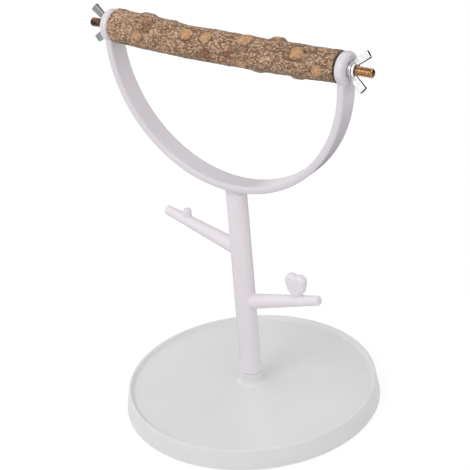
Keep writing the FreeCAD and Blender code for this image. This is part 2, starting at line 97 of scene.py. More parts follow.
# ------------------------------------------------------------------ fixed sizes
SCREW_SHANK = 2.1 * MM
SCREW_THREAD_DEPTH = 0.45 * MM
SCREW_PITCH = 1.6 * MM
SCREW_POINT = 3.0 * MM
SCREW_SUNK = 0.5 * MM  # how far the shank starts inside the head
SCREW_HEAD_ROUND = 1.2 * MM
SCREW_HEAD_EDGE = 0.15 * MM
RECESS_RADIUS = 2.2 * MM
RECESS_DEPTH = 1.4 * MM
RECESS_TAPER = (0.45, 0.7, 1)  # a recess arm's far end, as a share of its mouth
SCREW_WASHER_BORE = 2.4 * MM
STUD_HOLE_DEPTH = 4.0 * MM
NUT_SKIN_STEP = 0.15 * MM
SEAM_STEPS = 3  # skin steps that a moulding runs past the seam before it is cut there
BARK_SEED = 1  # without a seed, noise_vector changes with the clock


# ------------------------------------------------------------------ settings kept on the scene
def length(name, description, millimetres):
    return FloatProperty(name=name, description=description, default=millimetres * MM,
                         min=0.0, precision=5, subtype="DISTANCE", unit="LENGTH")


def angle(name, description, degrees):
    return FloatProperty(name=name, description=description, default=math.radians(degrees),
                         subtype="ANGLE", unit="ROTATION")


def share(name, description, value):
    return FloatProperty(name=name, description=description, default=value, min=0.0, max=1.0,
                         subtype="FACTOR")


def colour(name, description, red, green, blue):
    return FloatVectorProperty(name=name, description=description, subtype="COLOR", size=3,
                               min=0.0, max=1.0, default=from_srgb(red, green, blue))


def from_srgb(red, green, blue):
    """Scene-linear colour from display values of 0 to 255."""
    shares = (red / 255, green / 255, blue / 255)
    return tuple(s / 12.92 if s <= 0.04045 else ((s + 0.055) / 1.055) ** 2.4 for s in shares)


class DishSettings(bpy.types.PropertyGroup):
    height: length("Height", "Foot of the dish to the top of its lip", 14.2)
    side_draft: length("Side draft", "How far the side leans in over its height", 2.3)
    lip_width: length("Lip width", "Width of the lip's top", 1.6)
    lip_round: length("Lip round", "Radius of the lip's two edges", 0.7)
    rim_radius: length("Floor radius", "Where the inside of the lip meets the floor", 85.5)
    rim_height: length("Floor height", "Foot of the dish to the floor at the lip", 11.5)
    floor_rise: length("Floor rise", "How much higher the floor is at the middle", 1.3)
    corner_round: length("Corner round", "Radius between the lip and the floor", 1.2)
    wall: length("Wall", "Thickness of the moulding", 2.2)
    collar_radius: length("Collar radius", "Outside of the collar round the post", 8.2)
    collar_flare: length("Collar flare", "Radius of the fillet at the collar's foot", 4.5)
    collar_round: length("Collar round", "Radius of the collar's top edge", 0.5)
    socket_radius: length("Socket radius", "Bore of the collar", 6.0)
    socket_depth: length("Socket depth", "Depth of the bore", 12.8)
    web: length("Web", "Thickness of the socket's floor", 3.0)
    well_radius: length("Well radius", "Bore round the screw's head", 7.0)
    screw_hole: length("Screw hole", "Radius of the hole for the screw", 2.4)
    rib_count: IntProperty(name="Ribs", description="Number of ribs under the floor", default=8,
                           min=3)
    rib: length("Rib thickness", "Thickness of a rib", 1.6)
    rib_gap: length("Rib gap", "How far the ribs stop above the foot", 2.0)
    cup_wall: length("Cup wall", "Wall of the cup round a pad", 1.4)
    cup_gap: length("Cup clearance", "Room between a pad and its cup", 0.3)
    tint: colour("Colour", "Colour of the dish", 222, 222, 223)


class PostSettings(bpy.types.PropertyGroup):
    foot_radius: length("Foot radius", "Radius of the shaft at the collar", 7.7)
    top_radius: length("Top radius", "Radius of the shaft at the yoke", 7.3)
    foot_round: length("Foot round", "Radius of the shaft's lower edge", 0.4)
    spigot_radius: length("Spigot radius", "Part of the post that stands in the collar", 5.9)
    upper_height: length("Upper twig", "Height of the upper twig's root", 120.3)
    lower_height: length("Lower twig", "Height of the lower twig's root", 78.7)
    upper_rise: angle("Upper twig rise", "Slope of the upper twig", 15.2)
    lower_rise: angle("Lower twig rise", "Slope of the lower twig", 15.6)
    twig_length: length("Twig length", "From the post's axis to the tip", 65.1)
    twig_root: length("Twig root radius", "Radius at the post's axis", 5.7)
    twig_tip: length("Twig tip radius", "Radius at the tip", 3.4)
    twig_round: length("Twig tip round", "Radius of the tip's edge", 1.2)
    bud_offset: length("Bud place", "From the post's axis to the bud", 44.5)
    bud_height: length("Bud height", "Above the twig's axis", 9.2)
    stem_radius: length("Stem radius", "Radius of the bud and of the heart's stem", 3.0)
    bud_round: length("Bud round", "Radius of the bud's edge", 0.9)
    heart_offset: length("Heart place", "From the post's axis to the heart", 44.4)
    heart_height: length("Heart height", "Top of the lobes above the twig's axis", 20.8)
    heart_lobe: length("Lobe radius", "Radius of a lobe", 4.6)
    heart_spread: length("Lobe spread", "From the heart's middle to a lobe's", 3.4)
    heart_drop: length("Point drop", "From the lobes' middles down to the point's", 10.2)
    heart_point: length("Point radius", "Radius of the point", 3.0)
    heart_flank: length("Flank radius", "Radius of the curve from lobe to point", 14.0)
    heart_thickness: length("Heart thickness", "Front to back", 7.2)
    heart_round: length("Heart edge round", "Radius of its edges", 2.6)
    voxel: length("Skin step", "Mesh step of the moulded skin", 0.45)
    tint: colour("Colour", "Colour of the post and the yoke", 230, 224, 229)


class YokeSettings(bpy.types.PropertyGroup):
    inner_radius: length("Inner radius", "Inside of the half circle", 89.8)
    centre_height: length("Centre height", "Middle of the half circle above the foot", 263.2)
    strap: length("Strap thickness", "Thickness of the strap", 5.2)
    width: length("Strap width", "Front to back", 15.7)
    strap_round: length("Strap round", "Radius of the strap's edges", 1.5)
    boss_radius: length("Boss radius", "Radius of a boss", 11.2)
    outer_round: length("Boss round", "Radius of a boss's outer edge", 2.5)
    inner_round: length("Boss inner round", "Radius of a boss's inner edge", 3.0)
    flare: length("Neck flare", "How much wider the neck gets under the strap", 1.3)
    fillet: length("Neck fillet", "Radius under the strap", 1.2)
    side_gap: length("Neck side gap", "How far the flare keeps inside the strap's sides", 0.4)
    bore: length("Boss bore", "Radius of the bore for the stud", 3.08)
    voxel: length("Skin step", "Mesh step of the moulded skin", 0.45)


class BranchSettings(bpy.types.PropertyGroup):
    length_steps: IntProperty(name="Steps along", description="Mesh steps along the branch",
                              default=460, min=40)
    round_steps: IntProperty(name="Steps round", description="Mesh steps round the branch",
                             default=176, min=24)
    fleck_size: length("Fleck size", "Width of a cork fleck", 0.95)
    row_slant: angle("Row slant", "How far the rows of flecks lie across the branch", 20)
    plate_size: length("Plate size", "Width of a bark plate", 1.9)
    plate_stretch: FloatProperty(name="Plate stretch", default=1.7, min=1.0,
                                 description="How much longer than wide a plate is")
    plate_slant: FloatProperty(name="Plate slant", default=0.45,
                               description="How far the rows of plates run round the branch")
    plate_height: length("Plate height", "How far plates stand above the cracks", 0.26)
    lump_height: length("Lumps", "Height of the broad lumps", 0.45)
    end_round: length("End round", "Radius of the sawn ends' rims", 0.8)
    bark: colour("Bark", "Middle colour of the bark", 216, 172, 135)
    pale: colour("Pale flecks", "Colour of the cork flecks", 250, 221, 193)
    dark: colour("Cracks", "Colour in the cracks", 92, 60, 42)
    # Also the colour of the painted shade streaks along the branch's outlines.
    grey: colour("Weathered", "Colour of weathered bark", 134, 124, 104)
    scar: colour("Scars", "Colour of the bare wood in the scars", 190, 146, 102)
    stain: colour("Stains", "Colour of the dark red stains", 122, 70, 46)
    sawn: colour("Sawn wood", "Colour of the sawn ends", 196, 158, 112)


class HardwareSettings(bpy.types.PropertyGroup):
    stud_radius: length("Stud radius", "Outside of the thread", 3.0)
    pitch: length("Pitch", "Pitch of the thread", 1.0)
    thread_depth: length("Thread depth", "Crest to root", 0.5)
    chamfer: length("Stud chamfer", "At the free end", 0.6)
    point: length("Stud point", "Length of the point in the wood", 5.0)
    washer_edge: length("Washer edge", "Chamfer of a washer's rims", 0.22)
    washer_bore: length("Washer bore", "Radius of a washer's hole", 3.1)
    nut_base: length("Nut base radius", "Radius of the nut's flange", 5.9)
    nut_base_length: length("Nut base length", "Length of the nut's flange", 1.0)
    nut_step: length("Nut step radius", "Radius of the hub above the flange", 4.9)
    nut_top: length("Nut top radius", "Radius of the hub's end", 4.4)
    nut_length: length("Nut length", "Length of the hub", 2.6)
    nut_round: length("Nut round", "Radius of the hub's edges", 0.25)
    nut_bore: length("Nut bore", "Radius of the nut's bore", 3.06)
    wing_start: length("Wing start", "Where a wing's middle line starts, from the axis", 2.2)
    wing_sink: length("Wing sink", "How far below the seat that line starts", 1.5)
    wing_length: length("Wing length", "From that start to the wing's end", 14.5)
    wing_lean: angle("Wing lean", "From the stud's axis", 41.0)
    wing_root_width: length("Wing root width", "Across a wing at its start", 3.8)
    wing_width: length("Wing width", "Across a wing at its end", 5.6)
    wing_root_thickness: length("Wing root thickness", "Through a wing at its start", 1.8)
    wing_thickness: length("Wing thickness", "Through a wing at its end", 2.9)
    wing_round: length("Wing corner", "Radius of a wing's corners", 0.9)
    wing_clearance: length("Wing clearance", "From the washer up to a wing", 0.1)
    right_turn: angle("Right nut turn", "How the right nut was left", -22.0)
    left_turn: angle("Left nut turn", "How the left nut was left", 0.0)
    zinc: colour("Zinc", "Colour of the bright plating", 250, 250, 250)
    copper: colour("Stud", "Colour of the studs' plating", 250, 200, 150)
    aged: colour("Aged stud", "Colour of the left stud's duller blotches", 112, 90, 76)
    steel: colour("Screw", "Colour of the base screw", 196, 197, 199)
    rubber: colour("Pads", "Colour of the soft pads", 172, 172, 170)


class StageSettings(bpy.types.PropertyGroup):
    azimuth: angle("Azimuth", "Camera's turn to the right of the front", 37.3076)
    elevation: angle("Elevation", "Camera's height angle", 27.7708)
    roll: angle("Roll", "Camera's roll", -4.9171)
    lens: FloatProperty(name="Lens", description="Focal length in millimetres", default=125.74)
    position: FloatVectorProperty(name="Camera", description="Where the camera stands", size=3,
                                  default=(0.6031, -0.79706, 0.659), subtype="TRANSLATION",
                                  unit="LENGTH")
    key_power: FloatProperty(name="Key light", description="Watts", default=2.35, unit="POWER")
    fill_power: FloatProperty(name="Fill light", description="Watts", default=0.6, unit="POWER")
    left_power: FloatProperty(name="Left light", description="Watts", default=0.9, unit="POWER")
    ambient: FloatProperty(name="Ambient", description="Strength of the room's light", default=0.84)
    shadow: share("Floor shadow", "How much of the shadow on the floor shows", 0.22)
    bounce: share("Floor bounce", "How much light the floor throws back on the stand", 0.75)
    # Tones of the glowing cards that paint reflections in the metal.
    back_flag: colour("Back flag", "Tone of the flag behind the stand", 34, 34, 36)
    left_flag: colour("Left flag", "Tone of the flag low in front of the left nut", 156, 157, 160)
    right_flag: colour("Right flag", "Tone of the flag under the right stud", 92, 90, 90)
    side_flag: colour("Side flag", "Tone of the flag beyond the right nut", 150, 146, 142)
    end_flag: colour("End flag", "Tone of the flag that the right stud's end mirrors", 112, 102, 92)
    over_flag: colour("Over flag", "Tone of the flag above the right stud", 84, 78, 74)
    floor_size: length("Floor size", "Side of the floor", 6000)


# ------------------------------------------------------------------ node materials
class Signal:
    """What one socket gives. Arithmetic on it adds the Math nodes."""

    def __init__(self, finish, socket):
        self.finish = finish
        self.socket = socket

    def maths(self, operation, first, second=0.0):
        return self.finish.node("ShaderNodeMath", {"operation": operation}, {0: first, 1: second})

    def __add__(self, other):
        return self.maths("ADD", self, other)

    def __radd__(self, other):
        return self.maths("ADD", other, self)

    def __sub__(self, other):
        return self.maths("SUBTRACT", self, other)

    def __rsub__(self, other):
        return self.maths("SUBTRACT", other, self)

    def __mul__(self, other):
        return self.maths("MULTIPLY", self, other)

    def __rmul__(self, other):
        return self.maths("MULTIPLY", other, self)

    def __abs__(self):
        return self.maths("ABSOLUTE", self)

    def step(self, low, high):
        """0 below low, 1 above high and an eased slope between."""
        return self.finish.node("ShaderNodeMapRange", {"interpolation_type": "SMOOTHSTEP"},
                                {"Value": self, "From Min": low, "From Max": high})


class Finish:
    """Nodes of a new material or world."""

    def __init__(self, holder):
        holder.use_nodes = True
        self.holder = holder
        self.tree = holder.node_tree
        self.tree.nodes.clear()

    def node(self, kind, settings=None, values=None, output=0):
        """Add a node: its settings first, then a value or a Signal for each socket."""
        made = self.tree.nodes.new(kind)
        for key, value in (settings or {}).items():
            setattr(made, key, value)
        for key, value in (values or {}).items():
            if isinstance(value, Signal):
                self.tree.links.new(value.socket, made.inputs[key])
            else:
                made.inputs[key].default_value = value
        return Signal(self, made.outputs[output]) if made.outputs else None

    def coordinates(self):
        return self.node("ShaderNodeTexCoord", output="Object")

    def axis(self, name):
        """One coordinate of the piece, in metres."""
        return self.node("ShaderNodeSeparateXYZ", {}, {0: self.coordinates()}, output=name)

    def noise(self, size, detail=2.0, roughness=0.5, stretch=(1, 1, 1), distortion=0.0):
        """Noise whose lumps measure about size metres, from 0 to 1."""
        scaled = self.node("ShaderNodeMapping", {},
                           {"Vector": self.coordinates(), "Scale": stretch})
        return self.node("ShaderNodeTexNoise", {},
                         {"Vector": scaled, "Scale": 1 / size, "Detail": detail,
                          "Roughness": roughness, "Distortion": distortion})

    def cells(self, size, stretch, slant, wander):
        """Distance to the edge of its cell, and that cell's random tone, in wavy rows of cells."""
        here = self.coordinates()
        drift = self.node("ShaderNodeTexNoise", {}, {"Vector": here, "Scale": 0.4 / size},
                          output="Color")
        pushed = self.node("ShaderNodeVectorMath", {"operation": "MULTIPLY_ADD"},
                           {0: drift, 1: (wander,) * 3, 2: here})
        turned = self.node("ShaderNodeMapping", {}, {"Vector": pushed, "Rotation": slant})
        scaled = self.node("ShaderNodeMapping", {}, {"Vector": turned, "Scale": stretch})
        values = {"Vector": scaled, "Scale": 1 / size}
        edge = self.node("ShaderNodeTexVoronoi", {"feature": "DISTANCE_TO_EDGE"}, values)
        tone = self.node("ShaderNodeTexVoronoi", {"feature": "F1"}, values, output="Color")
        return edge, tone.step(0.2, 0.8)

    def attribute(self, name):
        """A mask that is kept on the mesh's vertices."""
        return self.node("ShaderNodeAttribute", {"attribute_name": name}, output="Fac")

    def blend(self, factor, first, second, mode="MIX"):
        """Colours mixed by a factor."""
        return self.node("ShaderNodeMix", {"data_type": "RGBA", "blend_type": mode},
                         {0: factor, 6: opaque(first), 7: opaque(second)}, output=2)

    def rays(self):
        """Whether the camera looks, and whether the camera, a mirror or glass does."""
        names = ("Is Camera Ray", "Is Glossy Ray", "Is Transmission Ray")
        camera, glossy, through = [self.node("ShaderNodeLightPath", output=name) for name in names]
        seen = self.node("ShaderNodeMath", {"operation": "MINIMUM"},
                         {0: camera + glossy + through, 1: 1.0})
        return camera, seen

    def bump(self, height, distance, strength=1.0, under=None):
        """Relief: a height from 0 to 1 times a distance in metres, over another relief."""
        values = {"Height": height, "Distance": distance, "Strength": strength}
        if under is not None:
            values["Normal"] = under
        return self.node("ShaderNodeBump", {}, values)

    def surface(self, **values):
        """End in a Principled shader with these sockets, named with _ for a space."""
        sockets = {key.replace("_", " "): value for key, value in values.items()}
        if "Base Color" in sockets:
            sockets["Base Color"] = opaque(sockets["Base Color"])
        shader = self.node("ShaderNodeBsdfPrincipled", {}, sockets)
        self.node("ShaderNodeOutputMaterial", {}, {"Surface": shader})
        return self.holder


def new_finish(name):
    return Finish(bpy.data.materials.new(name))


def opaque(tint):
    """A colour for a colour socket; a Signal passes as it is."""
    return tint if isinstance(tint, Signal) else (*tint[:3], 1.0)


def shade(tint, amount):
    """A colour made darker (amount under 1) or lighter."""
    return tuple(min(1.0, channel * amount) for channel in tint)


def moulded_plastic(name, tint, parting_line):
    """Satin moulded plastic: faint mould texture, slow sinks and handling marks."""
    finish = new_finish(name)
    grain = finish.noise(0.5 * MM, detail=3)
    cloud = finish.noise(38 * MM, detail=2)
    scuff = finish.noise(6 * MM, detail=4, roughness=0.65, distortion=0.6)
    tinted = finish.blend(cloud.step(0.35, 0.7), shade(tint, 0.975), tint)
    rough = 0.36 + 0.10 * scuff + 0.05 * grain
    skin = finish.bump(cloud, 0.9 * MM, 0.25)
    skin = finish.bump(grain, 0.03 * MM, 0.5, skin)
    if parting_line > 0:
        across = abs(finish.axis("Y"))
        line = 1.0 - across.step(0.06 * MM, 0.32 * MM)
        skin = finish.bump(line, parting_line, 1.0, skin)
        tinted = finish.blend(line * 0.35, tinted, shade(tint, 0.9))
    return finish.surface(Base_Color=tinted, Roughness=rough, Normal=skin,
                          Subsurface_Weight=0.12, Subsurface_Scale=0.002,
                          Subsurface_Radius=(1.0, 0.9, 0.85))


def bark(sizes):
    """Bark with cork flecks and cracks, bare wood in the scars and on the sawn ends."""
    finish = new_finish("bark")
    scar = finish.attribute("scar")
    fine = finish.noise(0.6 * MM, detail=3, roughness=0.65)
    patch = finish.noise(7 * MM, detail=3, roughness=0.6, stretch=(0.6, 1, 1))
    broad = finish.noise(26 * MM, detail=2, stretch=(0.5, 1, 1))
    edge, tone = finish.cells(sizes.fleck_size, stretch=(0.62, 1, 1),
                              slant=(0.0, sizes.row_slant, sizes.row_slant),
                              wander=1.6 * sizes.fleck_size)
    vein = abs(finish.noise(3.2 * MM, detail=3, roughness=0.55, stretch=(0.4, 1, 1)) - 0.5)
    crack = (1.0 - vein.step(0.006, 0.035)) * patch.step(0.4, 0.56)
    along = finish.axis("X").step(-BRANCH_END_X, BRANCH_END_X)
    body = finish.blend(patch.step(0.36, 0.66), shade(sizes.bark, 0.8), shade(sizes.bark, 1.12))
    body = finish.blend(along, body, shade((0.97, 0.985, 1.0), 0.82), mode="MULTIPLY")
    body = finish.blend(broad.step(0.54, 0.75) * 0.4, body, sizes.grey)
    body = finish.blend(tone.step(0.5, 0.8) * 0.56, body, sizes.pale)
    body = finish.blend((1.0 - tone.step(0.12, 0.36)) * 0.5, body, sizes.dark)
    body = finish.blend((1.0 - edge.step(0.02, 0.17)) * 0.5, body, sizes.dark)
    body = finish.blend((1.0 - finish.attribute("plate")) * 0.25, body, sizes.dark)
    # Grey streaks: partly weathered bark, partly painted shade along the branch's top and bottom
    # outlines.
    weather = finish.attribute("weather") * (0.35 + 0.5 * fine)
    body = finish.blend(weather, body, sizes.grey)
    stain = finish.attribute("stain") * (0.45 + 0.5 * fine.step(0.3, 0.7))
    body = finish.blend(stain, body, sizes.stain)
    seam = 1.0 - (1.0 - crack) * (1.0 - finish.attribute("crack"))
    body = finish.blend(seam * 0.8, body, shade(sizes.dark, 0.7))
    fibre = finish.attribute("fibre")
    grain = finish.noise(1.1 * MM, detail=3, roughness=0.6)
    wood = finish.blend((fibre * 0.5 + grain * 0.5).step(0.25, 0.75), shade(sizes.scar, 0.62),
                        shade(sizes.scar, 1.28))
    body = finish.blend(scar * (0.65 + 0.35 * fine.step(0.3, 0.6)), body, wood)
    body = finish.blend(finish.attribute("rim") * 0.75, body, sizes.dark)
    ring = finish.attribute("ring")
    pores = finish.noise(0.35 * MM, detail=2)
    end = finish.blend(ring * 0.6 + pores * 0.4, shade(sizes.sawn, 0.72), sizes.sawn)
    body = finish.blend(finish.attribute("sawn"), body, end)
    relief = (edge.step(0.0, 0.3) * 0.7 + fine * 0.3 - crack * 0.5) * (1.0 - scar)
    relief = relief + grain * 0.8 * scar
    rough = 0.86 - 0.22 * scar + 0.08 * fine
    return finish.surface(Base_Color=body, Roughness=rough,
                          Normal=finish.bump(relief, 0.35 * MM, 0.9))


def bright_zinc(sizes):
    """Zinc plate: bright, with faint brushing; duller on the narrow cast edges, with painted shade
    there, on the hub's step and on the washers' rims.
    """
    finish = new_finish("bright_zinc")
    brushed = finish.noise(1.0 * MM, detail=4, roughness=0.6, stretch=(0.3, 1, 1))
    blotch = finish.noise(2.6 * MM, detail=3)
    edge = finish.attribute("edge")
    tint = finish.blend(blotch.step(0.3, 0.75), shade(sizes.zinc, 0.82), sizes.zinc)
    # Painted shade: near black where the edge mask is set, on the wings' narrow faces, the hub's
    # step and the washers' rims.
    tint = finish.blend(edge * 0.8, tint, shade(sizes.zinc, 0.14))
    rough = 0.1 + 0.14 * brushed + 0.15 * edge
    return finish.surface(Base_Color=tint, Metallic=1.0, Roughness=rough,
                          Normal=finish.bump(brushed, 0.05 * MM, 0.5))


def copper_plate(sizes):
    """Yellow-copper passivated thread, with painted shade in the roots, and browner in blotches."""
    finish = new_finish("copper_plate")
    root = finish.attribute("root")
    blotch = finish.noise(2.4 * MM, detail=3)
    tint = finish.blend(blotch.step(0.35, 0.7), shade(sizes.copper, 0.75), sizes.copper)
    # Painted shade: near black in the thread's roots.
    tint = finish.blend(root.step(0.2, 0.8) * 0.92, tint, shade(sizes.copper, 0.07))
    left = 1.0 - finish.axis("X").step(-BOSS_FACE_X, 0.0)
    tint = finish.blend(left * (0.3 + 0.9 * blotch.step(0.35, 0.6)), tint, sizes.aged)
    rough = 0.12 + 0.12 * blotch
    return finish.surface(Base_Color=tint, Metallic=1.0, Roughness=rough,
                          Normal=finish.bump(finish.noise(0.4 * MM, detail=2), 0.03 * MM, 0.5))


def plain_steel(sizes):
    """Plain zinc on the hidden screw and its washer."""
    finish = new_finish("plain_steel")
    blotch = finish.noise(1.8 * MM, detail=4, roughness=0.6)
    tint = finish.blend(blotch, shade(sizes.steel, 0.7), sizes.steel)
    return finish.surface(Base_Color=tint, Metallic=1.0, Roughness=0.3 + 0.25 * blotch)


def foam_rubber(sizes):
    """Closed-cell foam of the pads: matt with small pores."""
    finish = new_finish("foam_rubber")
    pores = finish.noise(0.45 * MM, detail=2, roughness=0.7)
    tint = finish.blend(pores.step(0.3, 0.6), shade(sizes.rubber, 0.6), sizes.rubber)
    return finish.surface(Base_Color=tint, Roughness=0.92,
                          Normal=finish.bump(pores, 0.12 * MM, 0.8))


def pale_floor(sizes):
    """White floor that stays white in the picture and in reflections, and keeps soft shadows."""
    finish = new_finish("pale_floor")
    camera, seen = finish.rays()
    tint = finish.blend(camera, (sizes.bounce,) * 3, WHITE)
    plain = finish.node("ShaderNodeBsdfDiffuse", {}, {"Color": tint})
    white = finish.node("ShaderNodeEmission", {}, {"Color": opaque(WHITE), "Strength": FLOOR_WHITE})
    mixed = finish.node("ShaderNodeMixShader", {},
                        {0: seen * (1.0 - sizes.shadow), 1: plain, 2: white})
    finish.node("ShaderNodeOutputMaterial", {}, {"Surface": mixed})
    return finish.holder


# ------------------------------------------------------------------ mesh making
def rounded_path(corners, closed=False, arc_steps=6):
    """Points through (u, v, radius) corners, each corner drawn as an arc of that radius."""
    points = []
    count = len(corners)
    for i, (u, v, radius) in enumerate(corners):
        corner = Vector((u, v))
        if radius == 0 or (not closed and i in (0, count - 1)):
            points.append(corner)
            continue
        back = (Vector(corners[i - 1][:2]) - corner).normalized()
        ahead = (Vector(corners[(i + 1) % count][:2]) - corner).normalized()
        half = back.angle(ahead) / 2
        centre = corner + (back + ahead).normalized() * (radius / math.sin(half))
        first = corner + back * (radius / math.tan(half)) - centre
        last = corner + ahead * (radius / math.tan(half)) - centre
        turn = -first.angle_signed(last)
        for step in range(arc_steps + 1):
            points.append(centre + Matrix.Rotation(turn * step / arc_steps, 2) @ first)
    return points


def lathe(path, steps, closed=False):
    """New bmesh: (radius, height) points spun about Z, closed at the poles."""
    bm = bmesh.new()
    chain = [bm.verts.new((radius, 0, height)) for radius, height in path]
    pairs = list(zip(chain, chain[1:]))
    if closed:
        pairs.append((chain[-1], chain[0]))
    edges = [bm.edges.new(pair) for pair in pairs]
    bmesh.ops.spin(bm, geom=chain + edges, cent=(0, 0, 0), axis=UP, dvec=(0, 0, 0),
                   angle=math.tau, steps=steps, use_merge=True)
    bmesh.ops.remove_doubles(bm, verts=bm.verts, dist=WELD)
    bmesh.ops.recalc_face_normals(bm, faces=bm.faces)
    return bm


def drum(radius, low, high, low_round=0.0, high_round=0.0, steps=64):
    """Closed cylinder about Z with rounded edges."""
    return lathe(rounded_path([
        (0, low, 0),
        (radius, low, low_round),
        (radius, high, high_round),
        (0, high, 0),
    ]), steps)


def flat_ring(bore, outer, low, high, bore_round, rim_round, steps):
    """Flat washer about Z with rounded edges."""
    return lathe(rounded_path([
        (bore, low, bore_round),
        (outer, low, rim_round),
        (outer, high, rim_round),
        (bore, high, bore_round),
    ], closed=True, arc_steps=3), steps, closed=True)


def gather(parts):
    """One bmesh from several (bmesh, place) pairs."""
    whole = bmesh.new()
    for part, place in parts:
        bmesh.ops.transform(part, matrix=place, space=Matrix(), verts=part.verts)
        held = as_mesh("held", part)
        whole.from_mesh(held)
        bpy.data.meshes.remove(held)
    return whole


def as_mesh(name, bm):
    mesh = bpy.data.meshes.new(name)
    bm.to_mesh(mesh)
    bm.free()
    return mesh


def as_bmesh(mesh):
    bm = bmesh.new()
    bm.from_mesh(mesh)
    return bm


def linked(name, mesh):
    made = bpy.data.objects.new(name, mesh)
    bpy.context.scene.collection.objects.link(made)
    return made


def applied(holder):
    """The mesh of an object with its modifiers applied; the object goes."""
    bpy.context.view_layer.update()
    graph = bpy.context.evaluated_depsgraph_get()
    result = bpy.data.meshes.new_from_object(holder.evaluated_get(graph))
    bpy.data.objects.remove(holder)
    return result


def melded(bm, voxel, easing):
    """One skin round overlapping closed parts, with small fillets where they meet."""
    holder = linked("parts", as_mesh("parts", bm))
    skin = holder.modifiers.new("skin", "REMESH")
    skin.mode = "VOXEL"
    skin.voxel_size = voxel
    ease = holder.modifiers.new("ease", "SMOOTH")
    ease.factor = 0.5
    ease.iterations = easing
    return as_bmesh(applied(holder))


def combined(bm, other, operation):
    """Boolean of two closed bmeshes."""
    holder = linked("body", as_mesh("body", bm))
    tool = linked("tool", as_mesh("tool", other))
    modifier = holder.modifiers.new("cut", "BOOLEAN")
    modifier.operation = operation
    modifier.solver = "EXACT"
    modifier.object = tool
    result = applied(holder)
    bpy.data.objects.remove(tool)
    return as_bmesh(result)


def cut_away(bm, level, above):
    """Take away what lies above or below a height; the edges of the cut."""
    geometry = bm.verts[:] + bm.edges[:] + bm.faces[:]
    cut = bmesh.ops.bisect_plane(bm, geom=geometry, dist=WELD, plane_co=UP * level, plane_no=UP,
                                 clear_inner=not above, clear_outer=above)
    return [item for item in cut["geom_cut"] if isinstance(item, bmesh.types.BMEdge)]


def sawn(bm, level, above):
    """Cut away what lies above or below a height and close the cut."""
    bmesh.ops.holes_fill(bm, edges=cut_away(bm, level, above), sides=0)


def piece(name, bm, material, body, nodes=None, sharp=40):
    """Finish a piece: shading, material, and what it rides on and stands for."""
    made = linked(name, as_mesh(name, bm))
    made.data.shade_smooth()
    made.data.set_sharp_from_angle(angle=math.radians(sharp))
    made.data.materials.append(material)
    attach(made, body)
    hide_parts(*(nodes or [name]))
    return made


def along_x(x, side):
    """Place of a part about Z that points out along the perch on one side."""
    return Matrix.Translation((side * x, 0, PERCH_Z)) @ Matrix.Rotation(side * math.pi / 2, 4, "Y")


def eased(value, low, high):
    """0 below low, 1 above high and an eased slope between."""
    part = min(1.0, max(0.0, (value - low) / (high - low)))
    return part * part * (3 - 2 * part)


# ------------------------------------------------------------------ dish
def floor_z(dish, radius):
    """Height of the dish's floor at a distance from the middle."""
    return FOOT_Z + dish.rim_height + dish.floor_rise * (1 - radius / dish.rim_radius)


def dish_profile(dish):
    """Section of the dish and its collar, all the way round."""
    lip_outer = DISH_RADIUS - dish.side_draft
    lip_z = FOOT_Z + dish.height
    web_top = COLLAR_Z - dish.socket_depth
    web_foot = web_top - dish.web
    well_outer = dish.well_radius + dish.wall
    under = FOOT_Z + dish.rim_height - dish.wall
    return rounded_path([
        (dish.screw_hole, web_top, 0),
        (dish.socket_radius, web_top, 0),
        (dish.socket_radius, COLLAR_Z, 0),
        (dish.collar_radius, COLLAR_Z, dish.collar_round),
        (dish.collar_radius, floor_z(dish, dish.collar_radius), dish.collar_flare),
        (dish.rim_radius / 2, floor_z(dish, dish.rim_radius / 2), 0),
        (dish.rim_radius, FOOT_Z + dish.rim_height, dish.corner_round),
        (lip_outer - dish.lip_width, lip_z, dish.lip_round),
        (lip_outer, lip_z, dish.lip_round),
        (DISH_RADIUS, FOOT_Z, 0),
        (DISH_RADIUS - dish.wall, FOOT_Z, 0),
        (dish.rim_radius + dish.wall, under, dish.corner_round),
        (well_outer, floor_z(dish, well_outer) - dish.wall, dish.corner_round),
        (well_outer, FOOT_Z, 0),
        (dish.well_radius, FOOT_Z, 0),
        (dish.well_radius, web_foot, 0),
        (dish.screw_hole, web_foot, 0),
    ], closed=True)


def pad_place(name):
    """Place of a pad's axis, its radius, its foot and its top."""
    low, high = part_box(name)
    middle = (low + high) / 2
    return Matrix.Translation((middle.x, middle.y, 0)), (high.x - low.x) / 2, low.z, high.z


def ribs_and_cups(dish):
    """Ribs under the floor, and the solid cups that the pads sit in."""
    inside = FOOT_Z + dish.rim_height - dish.wall / 4
    low = FOOT_Z + dish.rib_gap
    start = dish.well_radius + dish.wall / 2
    reach = DISH_RADIUS - dish.side_draft - dish.wall / 2
    ribs = []
    for i in range(dish.rib_count):
        rib = bmesh.new()
        bmesh.ops.create_cube(rib, size=1)
        bmesh.ops.scale(rib, vec=(reach - start, dish.rib, inside - low), verts=rib.verts)
        bmesh.ops.translate(rib, vec=((reach + start) / 2, 0, (inside + low) / 2), verts=rib.verts)
        ribs.append((rib, Matrix.Rotation((i + 0.5) * math.tau / dish.rib_count, 4, "Z")))
    cups = []
    wells = []
    for name in PADS:
        place, radius, foot, top = pad_place(name)
        radius += dish.cup_gap
        cups.append((drum(radius + dish.cup_wall, FOOT_Z, inside), place))
        wells.append((drum(radius, foot - dish.wall, top), place))
    return gather(ribs), gather(cups), gather(wells)


def make_dish(dish):
    tray = lathe(dish_profile(dish), steps=200, closed=True)
    ribs, cups, wells = ribs_and_cups(dish)
    tray = combined(tray, ribs, "UNION")
    tray = combined(tray, cups, "UNION")
    tray = combined(tray, wells, "DIFFERENCE")
    plastic = moulded_plastic("dish_plastic", dish.tint, parting_line=0)
    piece("dish", tray, plastic, "stand", ["base_tray"], sharp=32)


def make_pads(hardware):
    rubber = foam_rubber(hardware)
    for name in PADS:
        place, radius, foot, top = pad_place(name)
        edge = (top - foot) / 4
        pad = gather([(drum(radius, foot, top, edge, edge), place)])
        piece(name, pad, rubber, "stand")


